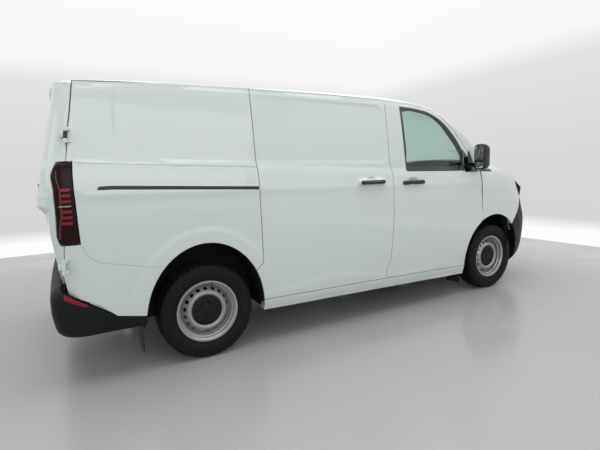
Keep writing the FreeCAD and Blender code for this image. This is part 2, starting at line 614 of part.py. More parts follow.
def build():
    """All nodes by name."""
    nodes = {}
    outer = outer_form()
    cavity = outer_form(SIDE_WALL, ROOF_WALL, REAR_WALL, NOSE_WALL)
    shell = outer.cut(cavity)
    arches = [rear_arch(RIGHT), rear_arch(LEFT), front_arch(RIGHT), front_arch(LEFT)]
    shell = shell.cut(arches)
    shell = shell.cut(window_pressing(outer))
    fields = rear_field(outer, REAR_FIELD, REAR_FIELD_DEPTH)
    plate = rear_field(outer, PLATE_FIELD, PLATE_DEPTH)
    shell = shell.cut([fields, mirrored(fields), plate])

    # doors
    for side, word in ((RIGHT, "right"), (LEFT, "left")):
        panel = shell.common(front_door_space(side, -SHUT_GAP / 2)).cut(front_window_space(side))
        nodes["door_" + word] = panel
        nodes["rear_door_" + word] = shell.common(rear_door_space(side, -SHUT_GAP / 2))
    nodes["sliding_door"] = shell.common(sliding_door_space(-SHUT_GAP / 2))

    # the fixed shell, with the doors' openings cut, then split where panels meet
    openings = [front_door_space(RIGHT, SHUT_GAP / 2), front_door_space(LEFT, SHUT_GAP / 2),
                rear_door_space(RIGHT, SHUT_GAP / 2), rear_door_space(LEFT, SHUT_GAP / 2),
                sliding_door_space(SHUT_GAP / 2)]
    fixed = shell.cut(openings)
    seam = [(x, SEAM_Z(x)) for x in (-2280, -2000, -1700, -1115, -500, 129, 400, 600)]
    tail = [(x, rear_door_top(x) + SHUT_GAP / 2) for x in (-2700, -2281)]
    roof_zone = prism_xz(tail + seam + [(600, 2100), (-2700, 2100)], -1200, 1200)
    nodes["roof_panel"] = fixed.common(roof_zone)
    fixed = fixed.cut(roof_zone)

    bonnet_zone = prism_xy(BONNET_OUTLINE, 980, 1600)
    bonnet = outer.common(prism_xy(BONNET_OUTLINE, 980, 1600, -SHUT_GAP / 2)).cut(bonnet_form(BONNET_WALL))
    lip = prism_xz(NOSE_TOP_OUTLINE, -1100, 1100, SHUT_GAP)
    bonnet = bonnet.cut(lip)
    brackets = []
    for side in (RIGHT, LEFT):
        x, z = BONNET_HINGE_X, BONNET_HINGE_Z
        arm = prism_xz([(x - 13, z - 12), (x + 13, z - 12), (x + 110, z - 45), (x + 110, z + 30), (x + 13, z + 12),
                        (x - 13, z + 12)], -675, -645)
        arm = arm.common(bonnet_form(BONNET_WALL / 2)).cut(rod(HINGE_PIN + RUNNING_FIT, (x, -700, z), (x, -600, z)))
        bonnet = bonnet.fuse(for_side(arm, side))
        bracket = prism_xz([(FIREWALL_X + 25, z - 100), (FIREWALL_X + 25, z), (x - 20, z + 12), (x + 13, z + 12),
                            (x + 13, z - 12), (x - 60, z - 80)], -688, -676)
        brackets.append(for_side(bracket.fuse(rod(HINGE_PIN, (x, -688, z), (x, -640, z))), side))
    nodes["bonnet"] = bonnet
    nodes["bonnet_hinges"] = joined(brackets)
    fixed = fixed.cut(prism_xy(BONNET_OUTLINE, 980, 1600, SHUT_GAP / 2).cut(prism_xz(NOSE_TOP_OUTLINE, -1100, 1100)))

    screen_zone = prism_xy(SCREEN_OUTLINE, 1200, 2100)
    glass_skin = upper_form(6.0, 6.0, 0.0, 500).cut(upper_form(12.0, 12.0, 0.0, 500))
    nodes["windscreen"] = glass_skin.common(screen_zone)
    fixed = fixed.cut(screen_zone)
    cowl_zone = block(COWL_START, 1768 - SHUT_GAP / 2, -850, 850, 1150, 1420)
    sheet = bonnet_form(COWL_DROP).cut(bonnet_form(COWL_DROP + 12)).common(cowl_zone)
    nodes["cowl_panel"] = sheet.cut([for_side(block(COWL_START, 1800, -700, -630, 1150, 1420), side)
                                     for side in (RIGHT, LEFT)])
    fixed = fixed.cut(cowl_zone)
    side_skin = upper_form(6.0, 6.0, 0.0, -200).cut(upper_form(12.0, 12.0, 0.0, -200))
    for side, word in ((RIGHT, "right"), (LEFT, "left")):
        nodes["door_glass_" + word] = side_skin.common(front_window_space(side))
    front_top = prism_xz(SCREEN_FRAME_ZONE, -1200, 1200).fuse(block(1400, COWL_START, -850, 850, 1150, 1500))
    nodes["windscreen_frame"] = fixed.common(front_top)
    fixed = fixed.cut(front_top)
    bumper_zone = prism_xz(FRONT_BUMPER_ZONE, -1200, 1200)
    nose = fixed.common(bumper_zone)
    fixed = fixed.cut(bumper_zone)
    lamp_zone = prism_xy(HEADLAMP_OUTLINE, HEADLAMP_LOW, 1300)
    lamps = lamp_zone.fuse(mirrored(lamp_zone))
    nodes["headlamps"] = nose.common(lamps)
    nose = nose.cut(lamps)
    grille_zone = block(2200, 2700, -GRILLE_HALF, GRILLE_HALF, GRILLE_LOW, 1300)
    nodes["grille"] = nose.common(grille_zone).cut(slots(GRILLE_SLOTS, GRILLE_LOW + 30, GRILLE_HALF - 40))
    nodes["front_bumper"] = nose.cut(grille_zone).cut(slots(INTAKE_SLOTS, INTAKE_LOW, INTAKE_HALF))

    lamp_space = prism_xz(TAIL_LAMP_OUTLINE, -1200, -TAIL_SPLIT_Y)
    tail_zone = lamp_space.fuse(mirrored(lamp_space))
    nodes["tail_lamps"] = fixed.common(tail_zone)
    fixed = fixed.cut(tail_zone)
    bumper_space = prism_xz(REAR_BUMPER_OUTLINE, -1200, 1200)
    tail_skin = bumper_tail_form().cut(bumper_tail_form(BUMPER_WALL)).common(bumper_space)
    nodes["rear_bumper"] = tail_skin.cut(arches[:2])
    fixed = fixed.cut(bumper_space)
    rail_space = prism_xz(SIDE_RAIL_OUTLINE, -1200, -900)
    nodes["side_rail"] = fixed.common(rail_space)
    fixed = fixed.cut(rail_space)
    for side, word in ((RIGHT, "right"), (LEFT, "left")):
        behind = for_side(block(-2700, FENDER_START, -1200, 0, 0, 2100), side)
        ahead = for_side(block(FENDER_START, 2700, -1200, 0, 0, 2100), side)
        nodes["side_panel_" + word] = fixed.common(behind)
        nodes["fender_" + word] = fixed.common(ahead)
    add_interior(nodes, cavity)
    add_underbody(nodes, cavity)
    add_wheels(nodes)
    add_fittings(nodes, outer)
    return nodes


def add_wheels(nodes):
    for word, x, side in (("front_right", FRONT_AXLE_X, RIGHT), ("front_left", FRONT_AXLE_X, LEFT),
                          ("rear_right", REAR_AXLE_X, RIGHT), ("rear_left", REAR_AXLE_X, LEFT)):
        nodes["tyre_" + word] = tyre(x, side)
        nodes["rim_" + word] = rim(x, side)
    nodes["knuckle_right"] = knuckle(RIGHT)
    nodes["knuckle_left"] = knuckle(LEFT)


def add_interior(nodes, cavity):
    """Floor, partition, firewall, dashboard, steering wheel and seats."""
    wells = [rear_arch(RIGHT, -1100, -690, LINER), rear_arch(LEFT, -1100, -690, LINER),
             front_arch(RIGHT, -1100, -545, LINER), front_arch(LEFT, -1100, -545, LINER)]
    door_room = []
    for side in (RIGHT, LEFT):
        room = block(80, DOOR_HINGE_X, -1200, -948, 200, 2000)
        room = room.fuse(Part.makeCylinder(DOOR_EDGE_RADIUS + SHUT_GAP, 1700, V(DOOR_HINGE_X, -DOOR_HINGE_Y, 200)))
        door_room.append(for_side(room, side))
    floor = block(-2394, FIREWALL_X, -1000, 1000, FLOOR_TOP - FLOOR_THICKNESS, FLOOR_TOP)
    nodes["floor_pan"] = floor.common(cavity).cut(wells + door_room)
    sills = []
    for side in (RIGHT, LEFT):
        box = prism_yz([(-870, 540), (-870, 290), (-1000, 262), (-1000, 318), (-938, 335), (-938, 540)], -1300, FENDER_START)
        sills.append(for_side(box, side))
    nodes["inner_sills"] = joined(sills).common(cavity).cut(wells)
    liners = []
    for side in (RIGHT, LEFT):
        rear = rear_arch(side, -1000, -690, LINER).cut(rear_arch(side, -1000, -700))
        rear = rear.cut(for_side(block(REAR_AXLE_X - 75, REAR_AXLE_X + 75, -720, -660, 100, 560), side))
        front = front_arch(side, -1000, -545, LINER).cut(front_arch(side, -1100, -500))
        liners += [rear, front]
    low = block(-2600, 2600, -1100, 1100, 0, LINER_FOOT_Z)
    liner = joined(liners).cut(low).common(cavity)
    nodes["arch_liners"] = liner.cut(door_room + [nodes["rear_bumper"]])
    wall = block(PARTITION_X, PARTITION_X + 35, -1000, 1000, FLOOR_TOP, 2000)
    nodes["partition"] = wall.common(cavity)
    fire = block(FIREWALL_X, FIREWALL_X + 25, -1000, 1000, FLOOR_TOP - FLOOR_THICKNESS, 1400)
    nodes["firewall"] = fire.common(cavity).cut(wells)
    dash = prism_xz([(FIREWALL_X, 880), (FIREWALL_X, 1320), (1480, 1290), (1300, 1240), (1180, 1190), (1140, 1120),
                     (1160, 1010), (1260, 900)], -1000, 1000)
    nodes["dashboard"] = dash.common(cavity).cut(wells + [for_side(block(900, FIREWALL_X, -1200, -855, 200, 2000), s)
                                                          for s in (RIGHT, LEFT)])
    wheel = Part.makeTorus(WHEEL_GRIP_RADIUS, 15, V(0, 0, 0), V(0, 0, 1))
    wheel = wheel.fuse([rod(70, (0, 0, -22), (0, 0, 8)), block(-190, 190, -16, 16, -12, 4)])
    wheel = wheel.fuse(rod(26, (0, 0, -260), (0, 0, -10)))
    wheel.rotate(V(0, 0, 0), V(0, 1, 0), -62)
    wheel.translate(V(1010, DRIVER_Y, 1150))
    nodes["steering_wheel"] = wheel.cut(nodes["dashboard"])
    seats = []
    for y_from, y_to in ((DRIVER_Y - 250, DRIVER_Y + 250), (-860, -20)):
        base = block(470, 880, y_from + 40, y_to - 40, FLOOR_TOP, 850)
        cushion = prism_xz([(400, 850), (960, 850), (985, 900), (970, 960), (420, 935)], y_from, y_to)
        back = prism_xz([(400, 870), (530, 900), (400, 1520), (340, 1560), (270, 1540), (250, 1480)], y_from, y_to)
        seats.append(joined([base, cushion, back]))
    nodes["seats"] = joined(seats)


def add_underbody(nodes, cavity):
    nodes["chassis_rails"] = chassis_rails()
    nodes["front_suspension"] = front_suspension()
    nodes["rear_axle"] = rear_axle()
    nodes["engine_block"] = block(1690, 2140, -380, 380, 310, 1000)
    nodes["radiator"] = block(*RADIATOR)
    nodes["fuel_tank"] = block(-800, 0, -60, 440, 290, 480)
    pipe = rod(28, (1690, -250, 430), (-1960, -250, 430))
    muffler = block(-2240, -1920, -350, -150, 390, 480)
    tail = rod(26, (-2230, -250, 420), (-2400, -250, 420))
    nodes["exhaust"] = joined([pipe, muffler, tail])


def rear_hinges(outer, moving):
    """The hinge pieces of the right rear door: those on the door if moving, else those on the body with their pins."""
    low, high = V(*REAR_HINGE_LOW), V(*REAR_HINGE_HIGH)
    along = (high - low).normalize()
    square_to = FreeCAD.Rotation(V(0, 0, 1), along)
    pieces = []

    def leaf_at(centre, x_from, x_to, half_height):
        leaf = block(x_from, x_to, -4, 60, -half_height, half_height)
        leaf.Placement = FreeCAD.Placement(centre, square_to)
        return leaf.cut(outer)

    for centre in (low, high):
        if moving:
            barrel = Part.makeCylinder(HINGE_BARREL, 41, centre - along * 20.5, along)
            barrel = barrel.fuse(leaf_at(centre, -62, 0, 15))
            barrel = barrel.cut(Part.makeCylinder(HINGE_PIN + RUNNING_FIT, 200, centre - along * 100, along))
            pieces.append(barrel)
        else:
            for start in (-46, 22):
                barrel = Part.makeCylinder(HINGE_BARREL, 24, centre + along * start, along)
                pieces.append(barrel.fuse(leaf_at(centre + along * (start + 12), 0, 62, 9)))
            pieces.append(Part.makeCylinder(HINGE_PIN, 92, centre - along * 46, along))
    result = joined(pieces)
    return result


def rounded_frame(x, y_from, y_to, z_from, z_to, radius):
    """A closed upright rectangle with round corners, in the plane at x."""
    flat = math.sqrt(0.5) * radius
    edges = []
    corners = [(y_to, z_to, 1, 1), (y_from, z_to, -1, 1), (y_from, z_from, -1, -1), (y_to, z_from, 1, -1)]
    ends = []
    for y, z, sy, sz in corners:
        cy, cz = y - sy * radius, z - sz * radius
        first, last = (x, cy, z), (x, y, cz)
        if sy * sz > 0:
            first, last = last, first
        middle = (x, cy + sy * flat, cz + sz * flat)
        edges.append(Part.Arc(V(*first), V(*middle), V(*last)).toShape())
        ends.append((first, last))
    joins = [line(ends[i][1], ends[(i + 1) % 4][0]) for i in range(4)]
    return Part.Wire([e for pair in zip(edges, joins) for e in pair])


def mirror_housing():
    """The mirror's shell: widest at its open back, drawn in towards its rounded front."""
    wires = []
    for x, share in ((MIRROR_BACK_X, 0.97), (MIRROR_BACK_X + 25, 1.0), (MIRROR_BACK_X + 90, 0.97),
                     (MIRROR_BACK_X + 150, 0.84), (MIRROR_BACK_X + 180, 0.66)):
        half_y, half_z = share * MIRROR_WIDTH / 2, share * MIRROR_HEIGHT / 2
        y, z = -MIRROR_TIP_Y + MIRROR_WIDTH / 2, MIRROR_MIDDLE_Z
        wires.append(rounded_frame(x, y - half_y, y + half_y, z - half_z, z + half_z, 38 * share))
    return Part.makeLoft(wires, True, False)


def add_fittings(nodes, outer):
    """Handles, mirrors and the rear doors' hinges."""
    handle = grip(-231, 27, 1192, 1216).cut(outer)
    nodes["sliding_door_handle"] = handle
    for side, word in ((RIGHT, "right"), (LEFT, "left")):
        nodes["door_handle_" + word] = for_side(grip(246, 515, 1172, 1196).cut(outer), side)
        sail_space = for_side(prism_xz(MIRROR_SAIL_OUTLINE, -1200, -640), side)
        sail = nodes["door_" + word].common(sail_space)
        nodes["door_" + word] = nodes["door_" + word].cut(sail_space)
        arm = block(1150, 1232, -1060, -900, 1310, 1345).cut(outer)
        housing = mirror_housing()
        nodes["mirror_" + word] = sail.fuse([for_side(arm, side), for_side(housing, side)])
        nodes["rear_hinge_leaves_" + word] = for_side(rear_hinges(outer, True), side)
    mounts = rear_hinges(outer, False)
    nodes["rear_hinge_mounts"] = mounts.fuse(mirrored(mounts))


def main():
    os.makedirs("parts", exist_ok=True)
    for name, shape in build().items():
        shape.exportStep("parts/" + name + ".step")


if __name__ == "__main__":
    main()
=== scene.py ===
"""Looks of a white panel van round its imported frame: paint, pressings, glass, lamps, trim and a studio.

Frame: +X forward, +Y to the van's left, +Z up, in metres. RIGHT is the side that faces the camera.
"""

import json
import math

import bmesh
import bpy
import numpy as np
from mathutils import Matrix, Vector
from mathutils.bvhtree import BVHTree
from mathutils.geometry import delaunay_2d_cdt


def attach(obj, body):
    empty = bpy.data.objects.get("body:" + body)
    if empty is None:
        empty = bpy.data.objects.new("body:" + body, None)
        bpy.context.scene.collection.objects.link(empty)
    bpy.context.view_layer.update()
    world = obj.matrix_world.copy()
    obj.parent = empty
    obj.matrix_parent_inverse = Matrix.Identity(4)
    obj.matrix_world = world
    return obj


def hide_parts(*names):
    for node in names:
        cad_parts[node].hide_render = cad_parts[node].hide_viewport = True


LEFT, RIGHT = 1, -1
SIDES = ((RIGHT, "right"), (LEFT, "left"))
REAR_AXLE_X, FRONT_AXLE_X = -1.559, 1.541
WHEEL_Y, WHEEL_Z = 0.864, 0.343
REAR_ARCH = (0.422, 0.503)
FRONT_ARCH = (0.460, 0.460)
WALL, DOOR_SKIN_WALL = 0.055, 0.044
HALF_GAP = 0.0025
CORNER_RELIEF = 0.004
DOOR_FRONT_X = 1.3225
MIRROR_FRONT_X, MIRROR_DEPTH_SHARE = 1.300, 0.60
CAB_PULL, SLIDE_PULL = (0.381, 1.184), (-0.102, 1.204)
WELD = 0.00002
SHARP_ANGLE = math.radians(34)

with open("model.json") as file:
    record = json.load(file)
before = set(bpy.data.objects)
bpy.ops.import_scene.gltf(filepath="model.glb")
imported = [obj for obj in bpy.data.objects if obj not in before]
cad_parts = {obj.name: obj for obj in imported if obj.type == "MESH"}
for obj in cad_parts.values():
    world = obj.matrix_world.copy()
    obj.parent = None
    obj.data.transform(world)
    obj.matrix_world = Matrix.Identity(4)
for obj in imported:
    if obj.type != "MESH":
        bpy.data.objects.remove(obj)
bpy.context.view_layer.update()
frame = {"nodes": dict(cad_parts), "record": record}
nodes = frame["nodes"]


# materials

def link(tree, source, target):
    tree.links.new(source, target)


def new_node(tree, kind, **values):
    """A shader node with its sockets set. An underscore in a socket's name stands for a space."""
    node = tree.nodes.new("ShaderNode" + kind)
    for name, value in values.items():
        node.inputs[name.replace("_", " ")].default_value = value
    return node


def finish_of(name, color, roughness, metallic=0.0, coat=0.0, coat_roughness=0.05, specular=0.5,
              transmission=0.0, ior=1.5, sheen=0.0, grain=None, mottle=None, rough_vary=None):
    """A shader with grain (scale, strength), mottle (scale, share) and rough_vary (scale, low, high)."""
    material = bpy.data.materials.new(name)
    material.use_nodes = True
    tree = material.node_tree
    shader = tree.nodes["Principled BSDF"]
    for socket, value in (("Base Color", (*color, 1)), ("Roughness", roughness), ("Metallic", metallic),
                          ("Coat Weight", coat), ("Coat Roughness", coat_roughness),
                          ("Specular IOR Level", specular), ("Transmission Weight", transmission),
                          ("IOR", ior), ("Sheen Weight", sheen)):
        shader.inputs[socket].default_value = value
    where = new_node(tree, "TexCoord")

    def noise(scale):
        node = new_node(tree, "TexNoise", Scale=scale, Detail=3.0)
        link(tree, where.outputs["Object"], node.inputs["Vector"])
        return node.outputs["Fac"]

    if grain:
        bump = new_node(tree, "Bump", Strength=grain[1], Distance=0.001)
        link(tree, noise(grain[0]), bump.inputs["Height"])
        link(tree, bump.outputs["Normal"], shader.inputs["Normal"])
    if mottle:
        mix = new_node(tree, "Mix")
        mix.data_type = "RGBA"
        mix.inputs["A"].default_value = (*[c * (1 - mottle[1]) for c in color], 1)
        mix.inputs["B"].default_value = (*[min(1, c * (1 + mottle[1])) for c in color], 1)
        link(tree, noise(mottle[0]), mix.inputs["Factor"])
        link(tree, mix.outputs["Result"], shader.inputs["Base Color"])
    if rough_vary:
        spread = new_node(tree, "MapRange", From_Min=0.3, From_Max=0.7, To_Min=rough_vary[1],
                          To_Max=rough_vary[2])
        link(tree, noise(rough_vary[0]), spread.inputs["Value"])
        link(tree, spread.outputs["Result"], shader.inputs["Roughness"])
    return material


PAINT = finish_of("white_paint", (0.69, 0.755, 0.735), 0.34, coat=1.0, coat_roughness=0.04,
                  grain=(420, 0.012), mottle=(1.7, 0.012), rough_vary=(5, 0.30, 0.38))
PAINT_INSIDE = finish_of("inner_paint", (0.60, 0.65, 0.635), 0.45, grain=(300, 0.03), mottle=(6, 0.03))
LAMP_GLASS = finish_of("lamp_glass", (0.022, 0.025, 0.027), 0.10, specular=0.5, coat=0.6,
                       coat_roughness=0.04, grain=(60, 0.01), mottle=(20, 0.10))
BUMPER = finish_of("bumper_grain", (0.0105, 0.0130, 0.0120), 0.66, specular=0.16, grain=(900, 0.35),
                   mottle=(3, 0.10), rough_vary=(12, 0.46, 0.60))
TRIM = finish_of("black_trim", (0.016, 0.017, 0.019), 0.38, specular=0.5, grain=(700, 0.18),
                 mottle=(6, 0.15), rough_vary=(15, 0.30, 0.46))
GLOSS_TRIM = finish_of("gloss_trim", (0.010, 0.011, 0.012), 0.22, specular=0.45, grain=(700, 0.06),
                       mottle=(6, 0.15), rough_vary=(15, 0.18, 0.28))
GLOSS_BLACK = finish_of("gloss_black", (0.010, 0.011, 0.012), 0.12, coat=0.6, grain=(60, 0.01),
                        rough_vary=(8, 0.08, 0.16))
SEAL = finish_of("seal_rubber", (0.014, 0.014, 0.015), 0.62, grain=(500, 0.25), mottle=(20, 0.12))
RUBBER = finish_of("tyre_rubber", (0.0060, 0.0064, 0.0062), 0.62, specular=0.22, grain=(260, 0.35),
                   mottle=(9, 0.22), rough_vary=(30, 0.52, 0.74))
STEEL = finish_of("wheel_silver", (0.365, 0.378, 0.374), 0.38, metallic=0.55, coat=0.35,
                  coat_roughness=0.18, grain=(800, 0.04), mottle=(14, 0.05), rough_vary=(20, 0.30, 0.44))
UNDER = finish_of("under_black", (0.010, 0.010, 0.011), 0.70, specular=0.25, grain=(120, 0.5),
                  mottle=(8, 0.35))
CAST = finish_of("cast_metal", (0.11, 0.11, 0.112), 0.55, metallic=0.7, grain=(160, 0.5), mottle=(20, 0.3))
PIPE = finish_of("exhaust_steel", (0.30, 0.29, 0.275), 0.40, metallic=0.9, grain=(200, 0.2),
                 mottle=(5, 0.25))
TANK = finish_of("tank_plastic", (0.028, 0.028, 0.03), 0.55, grain=(300, 0.2), mottle=(6, 0.2))
INTERIOR = finish_of("cab_plastic", (0.055, 0.058, 0.062), 0.58, grain=(700, 0.5), mottle=(10, 0.12))
CLOTH = finish_of("seat_cloth", (0.045, 0.048, 0.054), 0.88, sheen=0.25, grain=(1400, 0.8),
                  mottle=(220, 0.28))
GLASS = finish_of("window_glass", (0.74, 0.88, 0.83), 0.0, transmission=1.0, ior=1.45,
                  rough_vary=(3, 0.0, 0.006))
LAMP_SMOKE = finish_of("lamp_smoke", (0.016, 0.0022, 0.0032), 0.26, specular=0.16, coat=0.08,
                       coat_roughness=0.12, grain=(40, 0.01), mottle=(8, 0.15))
LAMP_RED = finish_of("lamp_red", (0.235, 0.006, 0.026), 0.24, specular=0.3, coat=0.25, coat_roughness=0.10,
                     grain=(320, 0.08), mottle=(60, 0.18))
CAP = finish_of("cap_plastic", (0.0062, 0.0070, 0.0068), 0.52, specular=0.25, grain=(500, 0.15),
                mottle=(12, 0.2))
CARD = finish_of("door_card", (0.040, 0.047, 0.046), 0.62, grain=(600, 0.4), mottle=(8, 0.14))
HEADLINER = finish_of("headliner", (0.22, 0.23, 0.23), 0.85, grain=(900, 0.5), mottle=(30, 0.06))
LAMP_GUIDE = finish_of("lamp_guide", (0.085, 0.036, 0.040), 0.30, coat=0.2, grain=(90, 0.05),
                       mottle=(40, 0.12))
LAMP_PALE = finish_of("lamp_pale", (0.30, 0.27, 0.26), 0.15, coat=1.0, grain=(300, 0.15), mottle=(90, 0.20))
AMBER = finish_of("lamp_amber", (0.62, 0.60, 0.55), 0.15, coat=1.0, grain=(300, 0.1), mottle=(70, 0.15))
CHROME = finish_of("reflector", (0.78, 0.79, 0.80), 0.08, metallic=1.0, grain=(80, 0.02), mottle=(30, 0.04))
MIRROR = finish_of("mirror_face", (0.80, 0.83, 0.83), 0.02, metallic=1.0, mottle=(2, 0.01))

FINISHES = {"white_paint": PAINT, "black_plastic": TRIM, "glass_clear": GLASS, "lamp_clear": CHROME,
            "lamp_red": LAMP_SMOKE, "steel_silver": STEEL, "tyre_rubber": RUBBER, "under_black": UNDER,
            "cast_metal": CAST, "exhaust_steel": PIPE, "tank_plastic": TANK, "trim_grey": INTERIOR,
            "seat_cloth": CLOTH}
OWN_FINISH = {"front_bumper": BUMPER, "rear_bumper": BUMPER, "grille": TRIM, "headlamps": BUMPER,
              "floor_pan": PAINT_INSIDE, "partition": PAINT_INSIDE, "firewall": UNDER,
              "inner_sills": PAINT, "arch_liners": UNDER}


def dress_nodes():
    slots = {s["node"]: s["material_slot"] for s in frame["record"]["subparts"]}
    for name, node in nodes.items():
        material = OWN_FINISH.get(name) or FINISHES[slots[name]]
        node.data.materials.clear()
        node.data.materials.append(material)


# general mesh helpers

def turns(count):
    """The angles of count equal steps round a circle."""
    return [2 * math.pi * k / count for k in range(count)]


def add_object(name, verts, faces, materials, body, normals=None, face_materials=None, flat=False):
    """A piece that rides on a body, with its own normals or sharp only at sharp angles."""
    mesh = bpy.data.meshes.new(name)
    mesh.from_pydata([tuple(v) for v in verts], [], [tuple(int(i) for i in f) for f in faces])
    for material in materials:
        mesh.materials.append(material)
    if face_materials is not None:
        mesh.polygons.foreach_set("material_index", np.asarray(face_materials, np.int32))
    mesh.polygons.foreach_set("use_smooth", [not flat] * len(mesh.polygons))
    mesh.update()
    if normals is not None:
        mesh.normals_split_custom_set_from_vertices([tuple(n) for n in normals])
    elif not flat:
        mesh.set_sharp_from_angle(angle=SHARP_ANGLE)
    piece = bpy.data.objects.new(name, mesh)
    bpy.context.scene.collection.objects.link(piece)
    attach(piece, body)
    return piece


class Build:
    """Collects vertices and faces of several small forms into one mesh."""

    def __init__(self):
        self.verts, self.faces, self.marks = [], [], []

    def add(self, verts, faces, mark=0):
        start = len(self.verts)
        self.verts += [Vector(v) for v in verts]
        self.faces += [[start + i for i in f] for f in faces]
        self.marks += [mark] * len(faces)

    def rings(self, rings, mark=0, cap_first=True, cap_last=True, closed=True):
        """Skins rings of equal length one to the next."""
        count = len(rings[0])
        verts = [v for ring in rings for v in ring]
        faces = []
        for k in range(len(rings) - 1):
            for i in range(count if closed else count - 1):
                j = (i + 1) % count
                faces.append((k * count + i, k * count + j, (k + 1) * count + j, (k + 1) * count + i))
        if cap_first:
            faces.append(tuple(reversed(range(count))))
        if cap_last:
            faces.append(tuple(range((len(rings) - 1) * count, len(rings) * count)))
        self.add(verts, faces, mark)

    def rounded_box(self, low, high, radius=0.004):
        """A box whose six faces are lattices, drawn in round its edges."""
        low, high = Vector(low), Vector(high)
        centre, half = (low + high) / 2, (high - low) / 2
        radius = min(radius, *(h * 0.98 for h in half))
        lines = []
        for h in half:
            soft = [-h + radius * (1 - math.cos(math.pi / 2 * t / 3)) for t in range(4)]
            lines.append(soft + [-v for v in reversed(soft)])
        n = len(lines[0])

        def place(i, j, k):
            p = Vector((lines[0][i], lines[1][j], lines[2][k]))
            core = Vector([max(-half[a] + radius, min(half[a] - radius, p[a])) for a in range(3)])
            d = p - core
            return centre + core + (d.normalized() * radius if d.length > 1e-9 else d)

        for axis in range(3):
            for end in (0, n - 1):
                verts, faces = [], []
                for a in range(n):
                    for b in range(n):
                        index = [a, b]
                        index.insert(axis, end)
                        verts.append(place(*index))
                for a in range(n - 1):
                    for b in range(n - 1):
                        quad = [a * n + b, (a + 1) * n + b, (a + 1) * n + b + 1, a * n + b + 1]
                        flip = (end == 0) == (axis != 1)
                        faces.append(quad[::-1] if flip else quad)
                self.add(verts, faces)

    def tube(self, points, radius, steps=10, mark=0):
        """A round rod along the points."""
        points = [Vector(p) for p in points]
        rings = []
        for i, p in enumerate(points):
            ahead = points[min(i + 1, len(points) - 1)] - points[max(i - 1, 0)]
            across = ahead.cross(Vector((0, 0, 1)))
            if across.length < 1e-6:
                across = ahead.cross(Vector((0, 1, 0)))
            across.normalize()
            up = across.cross(ahead).normalized()
            rings.append([p + across * radius * math.cos(a) + up * radius * math.sin(a)
                          for a in turns(steps)])
        self.rings(rings, mark)

    def make(self, name, materials, body, slot, weld=True, flat=False):
        piece = add_object(name, self.verts, self.faces, materials, body, face_materials=self.marks,
                           flat=flat)
        if weld:
            work = bmesh.new()
            work.from_mesh(piece.data)
            bmesh.ops.remove_doubles(work, verts=work.verts, dist=WELD)
            bmesh.ops.recalc_face_normals(work, faces=work.faces)
            work.to_mesh(piece.data)
            work.free()
            if not flat:
                piece.data.set_sharp_from_angle(angle=SHARP_ANGLE)
        return piece


# the studio

WALL_TOP = 6.0
# the wall's painted light and shade: (height as a share of WALL_TOP, brightness of its glow)
WALL_PAINTED_LIGHT = [(0.0, 0.98), (0.035, 0.99), (0.07, 0.67), (0.25, 0.69), (0.5, 0.76), (0.57, 0.93), (1.0, 1.0)]
COVE_X, COVE_Y, COVE_RADIUS, ROOM_END = 4.4, 4.9, 0.35, -14.0


def room_piece(name, verts, faces, material):
    mesh = bpy.data.meshes.new(name)
    mesh.from_pydata(verts, [], faces)
    mesh.materials.append(material)
    piece = bpy.data.objects.new(name, mesh)
    bpy.context.scene.collection.objects.link(piece)
    return piece


def painted_wall_light():
    """Painted light and shade on the white wall: a glow set by height, seen only from inside the room."""
    wall = bpy.data.materials.new("studio_wall")
    wall.use_nodes = True
    tree = wall.node_tree
    tree.nodes.clear()
    kinds = ("OutputMaterial", "Emission", "BsdfTransparent", "MixShader", "NewGeometry", "SeparateXYZ",
             "ValToRGB", "Math")
    out, glow, clear, mix, geometry, where, ramp, scale = (new_node(tree, kind) for kind in kinds)
    scale.operation = "DIVIDE"
    scale.inputs[1].default_value = WALL_TOP
    ramp.color_ramp.elements[0].position, ramp.color_ramp.elements[1].position = 0.0, 1.0
    # each stop paints the wall's light and shade at its height
    for position, level in WALL_PAINTED_LIGHT[1:-1]:
        ramp.color_ramp.elements.new(position)
    for element, (position, level) in zip(ramp.color_ramp.elements, WALL_PAINTED_LIGHT):
        element.position = position
        element.color = (level, level * 1.008, level * 0.992, 1)
    for source, target in ((geometry.outputs["Position"], where.inputs[0]),
                           (where.outputs["Z"], scale.inputs[0]),
                           (scale.outputs[0], ramp.inputs[0]), (ramp.outputs["Color"], glow.inputs["Color"]),
                           (geometry.outputs["Backfacing"], mix.inputs["Fac"]),
                           (glow.outputs[0], mix.inputs[1]),
                           (clear.outputs[0], mix.inputs[2]), (mix.outputs[0], out.inputs["Surface"])):
        link(tree, source, target)
    return wall


